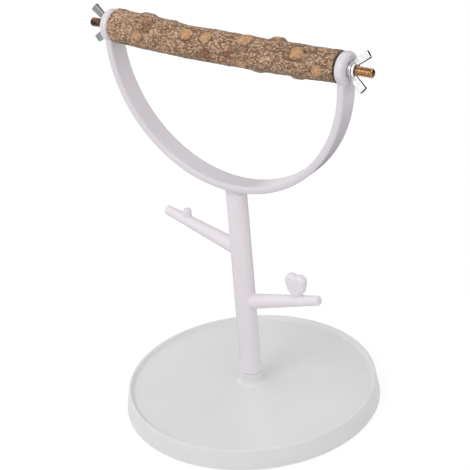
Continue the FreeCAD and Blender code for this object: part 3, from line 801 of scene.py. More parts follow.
# ------------------------------------------------------------------ screw under the dish
def cross_recess(radius, depth, level):
    """Tapered cross that sinks up from the head's face at a level."""
    arms = []
    for turn in (0, math.pi / 2):
        arm = bmesh.new()
        bmesh.ops.create_cube(arm, size=1)
        bmesh.ops.scale(arm, vec=(2 * radius, 0.5 * radius, 2 * depth), verts=arm.verts)
        top = [v for v in arm.verts if v.co.z > 0]
        bmesh.ops.scale(arm, vec=RECESS_TAPER, verts=top)
        arms.append((arm, Matrix.Translation((0, 0, level)) @ Matrix.Rotation(turn, 4, "Z")))
    return arms


def make_base_screw(hardware):
    seat = SCREW_WASHER_LOW.z
    head = drum(SCREW_HIGH.x, SCREW_LOW.z, seat, SCREW_HEAD_ROUND, SCREW_HEAD_EDGE)
    for arm, place in cross_recess(RECESS_RADIUS, RECESS_DEPTH, SCREW_LOW.z):
        head = combined(head, gather([(arm, place)]), "DIFFERENCE")
    thread = helix(SCREW_SHANK, SCREW_THREAD_DEPTH, SCREW_PITCH, seat - SCREW_SUNK, SCREW_HIGH.z,
                   SCREW_POINT, chamfer=0)
    screw = gather([(head, Matrix()), (thread, Matrix())])
    steel = plain_steel(hardware)
    piece("base_screw", screw, steel, "stand", sharp=32)
    edge = hardware.washer_edge
    ring = flat_ring(SCREW_WASHER_BORE, SCREW_WASHER_HIGH.x, SCREW_WASHER_LOW.z,
                     SCREW_WASHER_HIGH.z, edge / 2, edge, steps=96)
    piece("base_screw_washer", ring, steel, "stand", sharp=32)


# ------------------------------------------------------------------ post
def rising(height, rise, side):
    """Place of a twig about Z: from the post's axis up towards one side."""
    lean = side * (math.pi / 2 - rise)
    return Matrix.Translation((0, 0, FOOT_Z + height)) @ Matrix.Rotation(lean, 4, "Y")


def twig(post):
    """Tapered twig about Z with a rounded tip."""
    return lathe(rounded_path([
        (0, 0, 0),
        (post.twig_root, 0, 0),
        (post.twig_tip, post.twig_length, post.twig_round),
        (0, post.twig_length, 0),
    ]), steps=72)


def twig_axis(height, rise, offset):
    """Height of a twig's axis at a distance from the post's."""
    return FOOT_Z + height + offset * math.tan(rise)


def heart_half(post, side):
    """Hull of three round-edged discs: lobe, middle of the flank and point."""
    lobe = Vector((post.heart_spread, post.heart_drop))
    to_lobe = post.heart_flank - post.heart_lobe
    to_point = post.heart_flank - post.heart_point
    gap = lobe.length
    ahead = (to_point ** 2 - to_lobe ** 2 + gap ** 2) / (2 * gap)
    aside = math.sqrt(to_point ** 2 - ahead ** 2)
    along = lobe / gap
    flank = along * ahead + Vector((-along.y, along.x)) * aside
    middle_radius = (post.heart_lobe + post.heart_point) / 2
    towards = (lobe / 2 - flank).normalized()
    middle = flank + towards * (post.heart_flank - middle_radius)
    half = post.heart_thickness / 2
    cloud = bmesh.new()
    discs = [(lobe, post.heart_lobe), (middle, middle_radius), (Vector((0, 0)), post.heart_point)]
    for centre, radius in discs:
        edge = min(post.heart_round, radius * 0.85)
        disc = drum(radius, -half, half, edge, edge, steps=40)
        bmesh.ops.rotate(disc, cent=(0, 0, 0), matrix=Matrix.Rotation(math.pi / 2, 3, "X"),
                         verts=disc.verts)
        for v in disc.verts:
            cloud.verts.new((side * (v.co.x + centre.x), v.co.y, v.co.z + centre.y))
        disc.free()
    hull = bmesh.ops.convex_hull(cloud, input=cloud.verts[:])
    spare = hull["geom_interior"] + hull["geom_unused"]
    inside = {item for item in spare if isinstance(item, bmesh.types.BMVert)}
    bmesh.ops.delete(cloud, geom=list(inside), context="VERTS")
    bmesh.ops.recalc_face_normals(cloud, faces=cloud.faces)
    return cloud


def make_post(post):
    over = SEAM_STEPS * post.voxel
    shaft = lathe(rounded_path([
        (0, POST_LOW.z, 0),
        (post.spigot_radius, POST_LOW.z, 0),
        (post.spigot_radius, COLLAR_Z, 0),
        (post.foot_radius, COLLAR_Z, post.foot_round),
        (post.top_radius, SEAM_Z + over, 0),
        (0, SEAM_Z + over, 0),
    ]), steps=120)
    bud_z = twig_axis(post.upper_height, post.upper_rise, post.bud_offset)
    heart_z = twig_axis(post.lower_height, post.lower_rise, post.heart_offset)
    point_height = post.heart_height - post.heart_lobe - post.heart_drop
    heart_place = Matrix.Translation((post.heart_offset, 0, heart_z + point_height))
    bud = drum(post.stem_radius, 0, post.bud_height, 0, post.bud_round, steps=48)
    heart_stem = drum(post.stem_radius, 0, point_height, steps=48)
    skin = melded(gather([
        (shaft, Matrix()),
        (twig(post), rising(post.upper_height, post.upper_rise, -1)),
        (twig(post), rising(post.lower_height, post.lower_rise, 1)),
        (bud, Matrix.Translation((-post.bud_offset, 0, bud_z))),
        (heart_stem, Matrix.Translation((post.heart_offset, 0, heart_z))),
        (heart_half(post, 1), heart_place),
        (heart_half(post, -1), heart_place),
    ]), post.voxel, easing=5)
    sawn(skin, SEAM_Z, above=True)
    plastic = moulded_plastic("post_plastic", post.tint, parting_line=0.06 * MM)
    piece("post", skin, plastic, "stand", sharp=50)


# ------------------------------------------------------------------ yoke
def strap(yoke, centre_z):
    """Half ring of rounded section with upright arms, closed at both ends."""
    half = yoke.width / 2
    inner, outer = yoke.inner_radius, yoke.inner_radius + yoke.strap
    section = rounded_path([
        (inner, -half, yoke.strap_round),
        (outer, -half, yoke.strap_round),
        (outer, half, yoke.strap_round),
        (inner, half, yoke.strap_round),
    ], closed=True)
    bm = bmesh.new()
    loop = [bm.verts.new((x, y, centre_z)) for x, y in section]
    edges = [bm.edges.new((loop[i - 1], loop[i])) for i in range(len(loop))]
    bmesh.ops.spin(bm, geom=loop + edges, cent=(0, 0, centre_z), axis=(0, 1, 0), dvec=(0, 0, 0),
                   angle=math.pi, steps=160, use_merge=False)
    ends = [edge for edge in bm.edges if edge.is_boundary]
    arms = bmesh.ops.extrude_edge_only(bm, edges=ends)["geom"]
    tops = [item for item in arms if isinstance(item, bmesh.types.BMVert)]
    bmesh.ops.translate(bm, vec=(0, 0, PERCH_Z - centre_z), verts=tops)
    bmesh.ops.holes_fill(bm, edges=[edge for edge in bm.edges if edge.is_boundary], sides=0)
    bmesh.ops.recalc_face_normals(bm, faces=bm.faces)
    return bm


def neck(yoke, top_radius, strap_low):
    """Round neck that flares into the strap."""
    below = SEAM_Z - SEAM_STEPS * yoke.voxel
    inside = strap_low + yoke.strap / 2
    bm = lathe(rounded_path([
        (0, below, 0),
        (top_radius, below, 0),
        (top_radius, strap_low, yoke.fillet),
        (top_radius + yoke.flare, strap_low, 0),
        (top_radius + yoke.flare, inside, 0),
        (0, inside, 0),
    ]), steps=96)
    side = yoke.width / 2 - yoke.side_gap
    for v in bm.verts:
        v.co.y = min(side, max(-side, v.co.y))
    return bm


def make_yoke(yoke, post):
    centre_z = FOOT_Z + yoke.centre_height
    strap_low = centre_z - yoke.inner_radius - yoke.strap
    parts = [(strap(yoke, centre_z), Matrix()), (neck(yoke, post.top_radius, strap_low), Matrix())]
    for side in SIDES.values():
        boss = drum(yoke.boss_radius, BRANCH_END_X, BOSS_FACE_X, yoke.inner_round,
                    yoke.outer_round, steps=96)
        parts.append((boss, along_x(0, side)))
    skin = melded(gather(parts), yoke.voxel, easing=5)
    sawn(skin, SEAM_Z, above=False)
    bore = drum(yoke.bore, -2 * BOSS_FACE_X, 2 * BOSS_FACE_X, steps=48)
    skin = combined(skin, gather([(bore, along_x(0, 1))]), "DIFFERENCE")
    piece("yoke", skin, bpy.data.materials["post_plastic"], "stand", sharp=50)


# ------------------------------------------------------------------ branch
# Place along the half length, radius, and how far the middle lies below and behind the
# studs' axis, in millimetres
BRANCH_SHAPE = [
    (-1.0, 11.5, -0.4, 0.3),
    (-0.67, 11.5, 0.9, 0.7),
    (-0.33, 10.9, 1.9, 0.3),
    (0.0, 10.9, 1.3, -0.3),
    (0.33, 10.7, 0.9, -0.7),
    (0.67, 10.6, 0.5, 0.0),
    (1.0, 10.4, -0.5, 0.0),
]

# Knots and scars: place along the branch, angle from the top towards the front in degrees,
# radius, how far each stands out (millimetres), and how much bare wood shows
KNOTS = [
    (-63.0, -14.0, 5.5, 1.6, 0.15),
    (-64.0, 82.0, 3.9, 0.6, 0.8),
    (-42.5, -9.0, 3.4, 0.8, 0.1),
    (-25.0, 38.0, 4.6, 0.7, 0.95),
    (-9.0, 38.0, 4.6, 0.7, 0.9),
    (20.5, 14.0, 6.0, 1.0, 0.8),
    (20.2, 115.0, 4.2, 0.8, 0.85),
    (30.6, 142.0, 4.0, 1.0, 0.2),
    (40.5, -25.0, 4.6, 2.3, 0.7),
    (60.0, 153.0, 4.2, 1.2, 0.3),
    (61.4, 39.0, 5.0, 0.9, 1.0),
    (78.0, 92.0, 4.4, 0.8, 0.9),
    (76.8, 1.0, 3.8, 0.3, 0.5),
    (-17.1, 36.0, 1.8, 0.3, 0.0),
    (-50.0, 200.0, 5.0, 1.0, 0.7),
    (-12.0, 215.0, 4.6, 0.9, 0.7),
    (35.0, 250.0, 4.8, 0.9, 0.8),
    (70.0, 210.0, 4.4, 0.9, 0.7),
]

# Dark red stains: place along the branch, angle, radius in millimetres
STAINS = [(-58.3, 42.0, 5.8), (-8.0, 102.0, 6.5), (10.8, 84.0, 5.0), (3.0, 200.0, 6.0)]

# Angles from the top towards the front, in degrees, of two grey streaks along the top and bottom
# outlines seen from the camera: partly weathered bark, partly painted shade
WEATHER_AND_SHADE_STREAKS = (-30.0, 142.0)


def branch_middle(x):
    """Radius of the branch at x millimetres, and how far its middle lies down and back."""
    place = x * MM / BRANCH_END_X
    for near, far in zip(BRANCH_SHAPE, BRANCH_SHAPE[1:]):
        if place <= far[0]:
            break
    part = eased(place, near[0], far[0])
    return [a + (b - a) * part for a, b in zip(near[1:], far[1:])]


def turned_from(turn, degrees):
    """Angle round the branch from a place given in degrees, between -pi and pi."""
    return (turn - math.radians(degrees) + math.pi) % math.tau - math.pi


def unrolled(x, turn, radius, place, degrees, size):
    """Distance from a spot's middle in its own radii, and the direction, on the bark."""
    ahead = x - place
    aside = turned_from(turn, degrees) * radius
    return math.hypot(ahead, aside) / size, math.atan2(aside, ahead)


def plate_at(x, turn, radius, point, sizes):
    """How far inside its own bark plate a place is, and that plate's random tone."""
    along = x + sizes.plate_slant * radius * math.sin(turn - 1.0)
    wander = noise.noise_vector(point / 2.6) * 0.7
    stretched = Vector((along / sizes.plate_stretch, point.y, point.z)) / (sizes.plate_size / MM)
    gaps, feet = noise.voronoi(stretched + wander)[:2]
    return gaps[1] - gaps[0], 0.5 + 0.5 * noise.noise(feet[0] * 7.3)


def bark_at(x, turn, radius, sizes):
    """Height of the bark in millimetres and its masks at a place."""
    point = Vector((x, radius * math.sin(turn), radius * math.cos(turn)))
    ridge, tone = plate_at(x, turn, radius, point, sizes)
    rough = eased(noise.noise(point / 9 + Vector((2, 6, 1))), -0.35, 0.3)
    plate = eased(ridge, 0.0, 0.34)
    slender = Vector((x / 16, point.y / 3.2, point.z / 3.2))
    fissure = 1 - eased(abs(noise.noise(slender + Vector((7, 3, 1)))), 0.01, 0.045)
    fissure *= eased(noise.noise(point / 8 + Vector((3, 9, 4))), 0.0, 0.3)
    lumps = noise.noise(point / 10) * 0.7 + noise.noise(point / 4.6 + Vector((5, 5, 5))) * 0.4
    height = lumps * sizes.lump_height / MM
    texture = (plate * (0.4 + 0.6 * tone) * (0.55 + 0.45 * rough) - 0.4) * sizes.plate_height / MM
    texture += noise.noise(point / 0.9) * 0.06 - fissure * 0.3
    crack = max((1 - eased(ridge, 0.0, 0.1)) * rough * 0.8, fissure)
    scar = rim = fibre = 0.0
    for place, degrees, size, rise, bareness in KNOTS:
        away, around = unrolled(x, turn, radius, place, degrees, size)
        if away > 2.2:
            continue
        side = Vector((math.cos(around), math.sin(around), place))
        away *= 1 + 0.16 * noise.noise(side * 1.7)
        height += rise * (1 - eased(away, 0.45, 1.55))
        bare = bareness * (1 - eased(away + 0.24 * noise.noise(point / 1.3), 0.7, 1.12))
        if bare > scar:
            scar = bare
            grain = noise.noise(Vector((side.x * 4, side.y * 4, place + away * 1.5)))
            fibre = min(1.0, max(0.0, 0.62 + 0.6 * grain - 0.3 * away))
        ragged = 0.5 + noise.noise(side * 1.3 + Vector((0, 0, 4)))
        edge = math.exp(-((away - 1.1) / 0.15) ** 2)
        rim = max(rim, edge * eased(ragged, 0.2, 0.65) * bareness)
    knurl = noise.noise(point / 1.3 + Vector((1, 8, 2)))
    texture = texture * (1 - 0.8 * scar) + (0.25 * knurl + 0.1 * fibre) * scar - 0.3 * rim
    stain = 0.0
    for place, degrees, size in STAINS:
        away = unrolled(x, turn, radius, place, degrees, size)[0]
        stain = max(stain, 1 - eased(away + 0.6 * noise.noise(point / 2.0), 0.2, 1.2))
    # Grey streaks along the top and bottom outlines: partly weathering, partly painted shade.
    weather = 0.0
    for degrees in WEATHER_AND_SHADE_STREAKS:
        off = abs(turned_from(turn, degrees)) + 0.3 * noise.noise(point / 6)
        weather = max(weather, 1 - eased(off, 0.12, 0.5))
    masks = {"plate": plate, "crack": crack * (1 - scar), "scar": scar, "rim": rim, "fibre": fibre,
             "stain": stain, "weather": weather, "sawn": 0.0, "ring": 0.0}
    return height + texture, masks


def sawn_end(bm, layers, side, sizes, bore):
    """Close one end: rounded rim, sawn face, and the bore that takes the stud."""
    loop = [edge for edge in bm.edges if edge.is_boundary and edge.verts[0].co.x * side > 0]
    radius, down, back = branch_middle(side * BRANCH_END_X / MM)
    middle = Vector((0, back * MM, PERCH_Z - down * MM))
    stud_axis = Vector((0, 0, PERCH_Z))
    rim = sizes.end_round
    start = BRANCH_END_X - rim
    rim_rings, face_rings = 4, 14
    rings = []
    for step in range(1, rim_rings + 1):
        bare = step / rim_rings
        turn = bare * math.pi / 2
        rings.append((start + rim * math.sin(turn), rim * (1 - math.cos(turn)), 0.0, bare))
    for step in range(1, face_rings + 1):
        rings.append((BRANCH_END_X, rim, step / face_rings, 1.0))
    rings.append((BRANCH_END_X - STUD_HOLE_DEPTH, rim, 1.0, 1.0))
    outline = {v: v.co.copy() for edge in loop for v in edge.verts}
    for x, inset, closing, bare in rings:
        made = bmesh.ops.extrude_edge_only(bm, edges=loop)["geom"]
        loop = [item for item in made if isinstance(item, bmesh.types.BMEdge) and item.is_boundary]
        fresh = {}
        for edge in made:
            if not isinstance(edge, bmesh.types.BMEdge) or edge.is_boundary:
                continue
            old = edge.verts[0] if edge.verts[0] in outline else edge.verts[1]
            fresh[edge.other_vert(old)] = outline[old]
        for v, source in fresh.items():
            spoke = Vector((0, source.y, source.z)) - middle
            around = Vector((0, source.y, source.z)) - stud_axis
            wide = middle + spoke.normalized() * (spoke.length - inset)
            narrow = stud_axis + around.normalized() * bore
            spot = wide.lerp(narrow, closing)
            v.co = (side * x, spot.y, spot.z)
            v[layers["sawn"]] = bare if x > start + rim / 2 else 0.0
            age = (1 - closing) * radius
            v[layers["ring"]] = 0.5 + 0.5 * math.sin(age * 5.2 + 1.5 * noise.noise(spot * 300))
        outline = fresh
    bmesh.ops.holes_fill(bm, edges=loop, sides=0)


def make_branch(sizes, stud_radius):
    noise.seed_set(BARK_SEED)
    bm = bmesh.new()
    bmesh.ops.create_grid(bm, x_segments=sizes.length_steps, y_segments=sizes.round_steps,
                          size=1)
    names = ("plate", "crack", "scar", "rim", "fibre", "stain", "weather", "sawn", "ring")
    layers = {name: bm.verts.layers.float.new(name) for name in names}
    straight = (BRANCH_END_X - sizes.end_round) / MM
    for v in bm.verts:
        x = v.co.x * straight
        turn = (v.co.y + 1) * math.pi
        radius, down, back = branch_middle(x)
        height, masks = bark_at(x, turn, radius, sizes)
        reach = radius + height
        v.co = Vector((x, back - reach * math.sin(turn),
                       PERCH_Z / MM - down + reach * math.cos(turn))) * MM
        for name, value in masks.items():
            v[layers[name]] = value
    bmesh.ops.remove_doubles(bm, verts=bm.verts, dist=10 * WELD)
    for side in SIDES.values():
        sawn_end(bm, layers, side, sizes, stud_radius + 0.05 * MM)
    bmesh.ops.recalc_face_normals(bm, faces=bm.faces)
    piece("perch_branch", bm, bark(sizes), "perch", sharp=75)


# ------------------------------------------------------------------ studs, washers and wing nuts
# One turn of the thread: share of the pitch, and share of the depth (1 is the root)
THREAD_SHAPE = [(0.0, 1.0), (0.06, 1.0), (0.32, 0.0), (0.65, 0.0), (0.94, 1.0), (1.0, 1.0)]
POINT_SHARE = 0.1  # radius of a rod's point, as a share of the rod's


def helix(radius, depth, pitch, low, high, point, chamfer):
    """Threaded rod about Z with a point at one end and a chamfer at the other, closed."""
    steps = 28
    turns = math.ceil((high - low) / pitch) + 2
    bm = bmesh.new()
    # Depth of the thread, from which the studs' material paints shade in the roots.
    root = bm.verts.layers.float.new("root")
    start = low - 1.5 * pitch
    chain = []
    for along, deep in THREAD_SHAPE:
        v = bm.verts.new((radius - depth * deep, 0, start + along * pitch))
        v[root] = deep
        chain.append(v)
    edges = [bm.edges.new(pair) for pair in zip(chain, chain[1:])]
    bmesh.ops.spin(bm, geom=chain + edges, cent=(0, 0, 0), axis=UP, dvec=(0, 0, pitch / steps),
                   angle=math.tau * turns, steps=steps * turns, use_merge=False)
    bmesh.ops.remove_doubles(bm, verts=bm.verts, dist=WELD)
    cut_away(bm, low, above=False)
    cut_away(bm, high, above=True)
    bmesh.ops.holes_fill(bm, edges=[edge for edge in bm.edges if edge.is_boundary], sides=0)
    for v in bm.verts:
        limit = radius
        if chamfer > 0:
            limit = min(limit, radius - (v.co.z - (high - chamfer)))
        if point > 0:
            from_point = v.co.z - low if chamfer > 0 else high - v.co.z
            part = POINT_SHARE + (1 - POINT_SHARE) * from_point / point
            limit = min(limit, radius * part)
        reach = math.hypot(v.co.x, v.co.y)
        if reach > limit:
            v.co.x *= limit / reach
            v.co.y *= limit / reach
    bmesh.ops.recalc_face_normals(bm, faces=bm.faces)
    return bm


def make_studs(hardware):
    copper = copper_plate(hardware)
    for name, side in SIDES.items():
        low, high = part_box(name + "_stud")
        inner, reach = sorted((abs(low.x), abs(high.x)))
        rod_mesh = helix(hardware.stud_radius, hardware.thread_depth, hardware.pitch, inner, reach,
                         hardware.point, hardware.chamfer)
        stud = gather([(rod_mesh, along_x(0, side))])
        piece(name + "_stud", stud, copper, "perch", sharp=24)


def make_washers(hardware):
    zinc = bright_zinc(hardware)
    for name, side in SIDES.items():
        low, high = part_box(name + "_washer")
        near, far = sorted((abs(low.x), abs(high.x)))
        outer = (high.z - low.z) / 2
        edge = hardware.washer_edge
        ring = flat_ring(hardware.washer_bore, outer, near, far, edge, edge, steps=120)
        # Mask for a painted shadow line round the washer's rim.
        rim = ring.verts.layers.float.new("edge")
        for v in ring.verts:
            v[rim] = 0.6 * eased(math.hypot(v.co.x, v.co.y), outer - 1.5 * edge, outer - edge / 2)
        washer = gather([(ring, along_x(0, side))])
        piece(name + "_washer", washer, zinc, name + "_washer", sharp=32)


def wing(hardware):
    """Wing that leans out from the hub in the plane of Y = 0, wider and thicker at its end."""
    lean = hardware.wing_lean
    along = Vector((math.sin(lean), 0, math.cos(lean)))
    across = Vector((-math.cos(lean), 0, math.sin(lean)))
    root = Vector((hardware.wing_start, 0, -hardware.wing_sink))
    reach = hardware.wing_length
    narrow, wide = hardware.wing_root_width / 2, hardware.wing_width / 2
    outline = rounded_path([
        (0, -narrow, 0),
        (reach, -wide, hardware.wing_round),
        (reach, wide, hardware.wing_round),
        (0, narrow, 0),
    ], closed=True, arc_steps=5)
    thin, thick = hardware.wing_root_thickness / 2, hardware.wing_thickness / 2
    bm = bmesh.new()
    ring = []
    for u, v in outline:
        half = thin + (thick - thin) * u / reach
        ring.append(bm.verts.new(root + along * u + across * v - Vector((0, half, 0))))
    face = bm.faces.new(ring)
    pulled = bmesh.ops.extrude_face_region(bm, geom=[face])["geom"]
    far = [item for item in pulled if isinstance(item, bmesh.types.BMVert)]
    bmesh.ops.scale(bm, vec=(1, -1, 1), verts=far)
    bmesh.ops.recalc_face_normals(bm, faces=bm.faces)
    sawn(bm, hardware.wing_clearance, above=False)
    return bm


def mark_edges(bm, hub_radius, lean):
    """Mark the narrow faces of the wings, outside the hub, and the step round the hub, where the
    zinc gets painted shade.
    """
    edge = bm.verts.layers.float.new("edge")
    bm.normal_update()
    for v in bm.verts:
        radius = math.hypot(v.co.x, v.co.y)
        outside = eased(radius, 0.8 * hub_radius, 1.1 * hub_radius)
        outward = v.normal.x if v.co.x > 0 else -v.normal.x
        end = eased(outward * math.sin(lean) + v.normal.z * math.cos(lean), 0.6, 0.9)
        narrow = outside * eased(1 - abs(v.normal.y), 0.25, 0.8) * (1 - 0.75 * end)
        step = eased(v.normal.z, 0.3, 0.8) * (1 - eased(radius, 0.9 * hub_radius, hub_radius))
        v[edge] = max(narrow, step)


def make_wing_nuts(hardware):
    for name, side in SIDES.items():
        turn = hardware.right_turn if side > 0 else hardware.left_turn
        hub = lathe(rounded_path([
            (0, 0, 0),
            (hardware.nut_base, 0, hardware.nut_round),
            (hardware.nut_base, hardware.nut_base_length, hardware.nut_round),
            (hardware.nut_step, hardware.nut_base_length, hardware.nut_round),
            (hardware.nut_top, hardware.nut_length, hardware.nut_round),
            (0, hardware.nut_length, 0),
        ], arc_steps=4), steps=96)
        skin = melded(gather([
            (hub, Matrix()),
            (wing(hardware), Matrix()),
            (wing(hardware), Matrix.Rotation(math.pi, 4, "Z")),
        ]), NUT_SKIN_STEP, easing=3)
        bore = drum(hardware.nut_bore, -hardware.nut_length, 4 * hardware.nut_length, steps=48)
        skin = combined(skin, bore, "DIFFERENCE")
        mark_edges(skin, hardware.nut_base, hardware.wing_lean)
        place = along_x(NUT_SEAT_X, side) @ Matrix.Rotation(turn, 4, "Z")
        nut = gather([(skin, place)])
        piece(name + "_wing_nut", nut, bpy.data.materials["bright_zinc"], name + "_wing_nut",
              sharp=50)


# ------------------------------------------------------------------ stage
# Lamp's name, setting of its power, side, azimuth, elevation (degrees) and distance (metres)
LAMPS = [
    ("key", "key_power", 0.5, -8, 44, 1.0),
    ("fill", "fill_power", 0.6, 75, 30, 1.1),
    ("left_fill", "left_power", 0.6, -80, 12, 1.1),
]

# Painted reflections: cards that glow in their tone and show only in the metal.
# Flag's name, setting of its tone, width, height, azimuth, elevation and distance, and the place
# along the perch that it is turned to
FLAGS = [
    ("back_flag", "back_flag", 0.8, 0.38, 188, 20, 0.5, 0),
    ("foot_flag", "back_flag", 0.5, 0.14, 180, -51, 0.3, 0),
    ("side_flag", "side_flag", 0.36, 0.5, 90, 0, 0.5, 0),
    ("left_flag", "left_flag", 0.2, 0.14, -40, -20, 0.45, -BOSS_FACE_X),
    ("right_flag", "right_flag", 0.24, 0.14, -60, -53, 0.25, BOSS_FACE_X),
    ("end_flag", "end_flag", 0.11, 0.11, 148, -22, 0.3, STUD_END_X),
    ("over_flag", "over_flag", 0.14, 0.14, -83, 70, 0.25, BOSS_FACE_X),
]


def direction(azimuth, elevation):
    """Unit vector towards an azimuth right of the front and an elevation."""
    level = math.cos(elevation)
    return Vector((math.sin(azimuth) * level, -math.cos(azimuth) * level, math.sin(elevation)))


def looking(azimuth, elevation, roll, position):
    """Place of a camera: azimuth right of the front, elevation, roll and position."""
    back = direction(azimuth, elevation)
    right = (-back).cross(UP).normalized()
    above = right.cross(-back)
    rolled_right = right * math.cos(roll) + above * math.sin(roll)
    rolled_up = above * math.cos(roll) - right * math.sin(roll)
    place = Matrix((rolled_right, rolled_up, back)).transposed().to_4x4()
    place.translation = Vector(position)
    return place


def facing(aim, azimuth, elevation, distance):
    """Place of a lamp or a card that looks at a point, from angles in degrees."""
    azimuth, elevation = math.radians(azimuth), math.radians(elevation)
    return looking(azimuth, elevation, 0, Vector(aim) + direction(azimuth, elevation) * distance)


def soft_light(name, power, size, place):
    """Square lamp."""
    lamp = bpy.data.lights.new(name, "AREA")
    lamp.shape = "SQUARE"
    lamp.size = size
    lamp.energy = power
    made = bpy.data.objects.new(name, lamp)
    bpy.context.scene.collection.objects.link(made)
    made.matrix_world = place


def room_light(strength):
    """Even room light, seen as plain white by the camera and in reflections."""
    world = bpy.data.worlds.new("room")
    room = Finish(world)
    seen = room.rays()[1]
    level = strength + seen * (1.0 - strength)
    light = room.node("ShaderNodeBackground", {}, {"Color": opaque(WHITE), "Strength": level})
    room.node("ShaderNodeOutputWorld", {}, {"Surface": light})
    bpy.context.scene.world = world


def dark_flag(name, tone, width, height, place):
    """Dark card, glowing in its tone, that only the bright metal mirrors: a painted reflection."""
    bm = bmesh.new()
    bmesh.ops.create_grid(bm, x_segments=1, y_segments=1, size=0.5)
    bmesh.ops.scale(bm, vec=(width, height, 1), verts=bm.verts)
    bmesh.ops.transform(bm, matrix=place, space=Matrix(), verts=bm.verts)
    card = linked(name, as_mesh(name, bm))
    finish = new_finish(name)
    dark = finish.node("ShaderNodeEmission", {}, {"Color": opaque(tone), "Strength": 1.0})
    finish.node("ShaderNodeOutputMaterial", {}, {"Surface": dark})
    card.data.materials.append(finish.holder)
    for ray in ("camera", "diffuse", "shadow", "transmission", "volume_scatter"):
        setattr(card, "visible_" + ray, False)


def make_stage(stage):
    floor = bmesh.new()
    bmesh.ops.create_grid(floor, x_segments=1, y_segments=1, size=stage.floor_size / 2)
    ground = linked("floor", as_mesh("floor", floor))
    ground.data.materials.append(pale_floor(stage))
    middle = (0, 0, CAD_HIGH.z / 2)
    for name, power, size, *angles in LAMPS:
        soft_light(name, getattr(stage, power), size, facing(middle, *angles))
    for name, tone, width, height, azimuth, elevation, distance, x in FLAGS:
        place = facing((x, 0, PERCH_Z), azimuth, elevation, distance)
        dark_flag(name, getattr(stage, tone), width, height, place)
    room_light(stage.ambient)
    camera = bpy.data.objects.new("camera", bpy.data.cameras.new("camera"))
    camera.data.lens = stage.lens
    camera.data.sensor_width = 36
    camera.data.clip_end = 20
    camera.matrix_world = looking(stage.azimuth, stage.elevation, stage.roll, stage.position)
    bpy.context.scene.collection.objects.link(camera)
    bpy.context.scene.camera = camera
    bpy.context.scene.view_settings.view_transform = "Standard"


# ------------------------------------------------------------------ add-on
class PlayStandSettings(bpy.types.PropertyGroup):
    dish: PointerProperty(type=DishSettings)
    post: PointerProperty(type=PostSettings)
    yoke: PointerProperty(type=YokeSettings)
    branch: PointerProperty(type=BranchSettings)
    hardware: PointerProperty(type=HardwareSettings)
    stage: PointerProperty(type=StageSettings)


class PLAYSTAND_OT_dish(bpy.types.Operator):
    """Make the dish with its collar, ribs and cups"""

    bl_idname = "play_stand.dish"
    bl_label = "Make Dish"

    def execute(self, context):
        make_dish(context.scene.play_stand.dish)
        return {"FINISHED"}


class PLAYSTAND_OT_pads(bpy.types.Operator):
    """Make the soft pads under the dish"""

    bl_idname = "play_stand.pads"
    bl_label = "Make Pads"

    def execute(self, context):
        make_pads(context.scene.play_stand.hardware)
        return {"FINISHED"}


class PLAYSTAND_OT_base_screw(bpy.types.Operator):
    """Make the screw and washer that hold the post from below"""

    bl_idname = "play_stand.base_screw"
    bl_label = "Make Base Screw"

    def execute(self, context):
        make_base_screw(context.scene.play_stand.hardware)
        return {"FINISHED"}


class PLAYSTAND_OT_post(bpy.types.Operator):
    """Make the post with its twigs, bud and heart"""

    bl_idname = "play_stand.post"
    bl_label = "Make Post"

    def execute(self, context):
        make_post(context.scene.play_stand.post)
        return {"FINISHED"}


class PLAYSTAND_OT_yoke(bpy.types.Operator):
    """Make the half-circle yoke with its bosses and neck"""

    bl_idname = "play_stand.yoke"
    bl_label = "Make Yoke"

    def execute(self, context):
        settings = context.scene.play_stand
        make_yoke(settings.yoke, settings.post)
        return {"FINISHED"}


class PLAYSTAND_OT_branch(bpy.types.Operator):
    """Make the branch with its bark, knots, scars and sawn ends"""

    bl_idname = "play_stand.branch"
    bl_label = "Make Branch"

    def execute(self, context):
        settings = context.scene.play_stand
        make_branch(settings.branch, settings.hardware.stud_radius)
        return {"FINISHED"}


class PLAYSTAND_OT_studs(bpy.types.Operator):
    """Make the two threaded studs"""

    bl_idname = "play_stand.studs"
    bl_label = "Make Studs"

    def execute(self, context):
        make_studs(context.scene.play_stand.hardware)
        return {"FINISHED"}


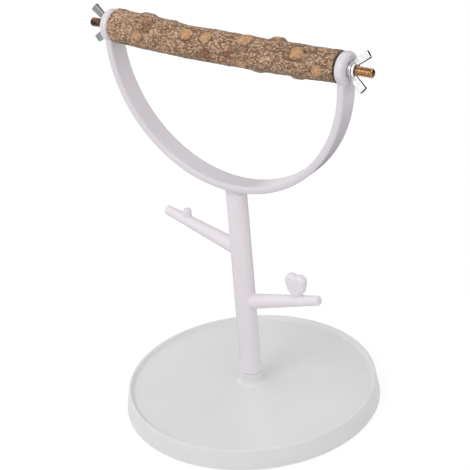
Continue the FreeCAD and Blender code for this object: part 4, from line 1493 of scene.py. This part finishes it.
class PLAYSTAND_OT_washers(bpy.types.Operator):
    """Make the two washers"""

    bl_idname = "play_stand.washers"
    bl_label = "Make Washers"

    def execute(self, context):
        make_washers(context.scene.play_stand.hardware)
        return {"FINISHED"}


class PLAYSTAND_OT_wing_nuts(bpy.types.Operator):
    """Make the two wing nuts"""

    bl_idname = "play_stand.wing_nuts"
    bl_label = "Make Wing Nuts"

    def execute(self, context):
        make_wing_nuts(context.scene.play_stand.hardware)
        return {"FINISHED"}


class PLAYSTAND_OT_stage(bpy.types.Operator):
    """Set the floor, the lights and the camera"""

    bl_idname = "play_stand.stage"
    bl_label = "Set Stage"

    def execute(self, context):
        make_stage(context.scene.play_stand.stage)
        return {"FINISHED"}


STEPS = (
    PLAYSTAND_OT_stage,
    PLAYSTAND_OT_dish,
    PLAYSTAND_OT_pads,
    PLAYSTAND_OT_base_screw,
    PLAYSTAND_OT_post,
    PLAYSTAND_OT_yoke,
    PLAYSTAND_OT_branch,
    PLAYSTAND_OT_studs,
    PLAYSTAND_OT_washers,
    PLAYSTAND_OT_wing_nuts,
)


class PLAYSTAND_PT_panel(bpy.types.Panel):
    """Steps of the play stand"""

    bl_label = "Play Stand"
    bl_idname = "PLAYSTAND_PT_panel"
    bl_space_type = "VIEW_3D"
    bl_region_type = "UI"
    bl_category = "Play Stand"

    def draw(self, context):
        for step in STEPS:
            self.layout.operator(step.bl_idname)


CLASSES = (
    DishSettings,
    PostSettings,
    YokeSettings,
    BranchSettings,
    HardwareSettings,
    StageSettings,
    PlayStandSettings,
    *STEPS,
    PLAYSTAND_PT_panel,
)


def register():
    for cls in CLASSES:
        bpy.utils.register_class(cls)
    bpy.types.Scene.play_stand = PointerProperty(type=PlayStandSettings)


def unregister():
    del bpy.types.Scene.play_stand
    for cls in reversed(CLASSES):
        bpy.utils.unregister_class(cls)


def main():
    register()
    for step in STEPS:
        group, name = step.bl_idname.split(".")
        getattr(getattr(bpy.ops, group), name)()


if __name__ == "__main__":
    main()
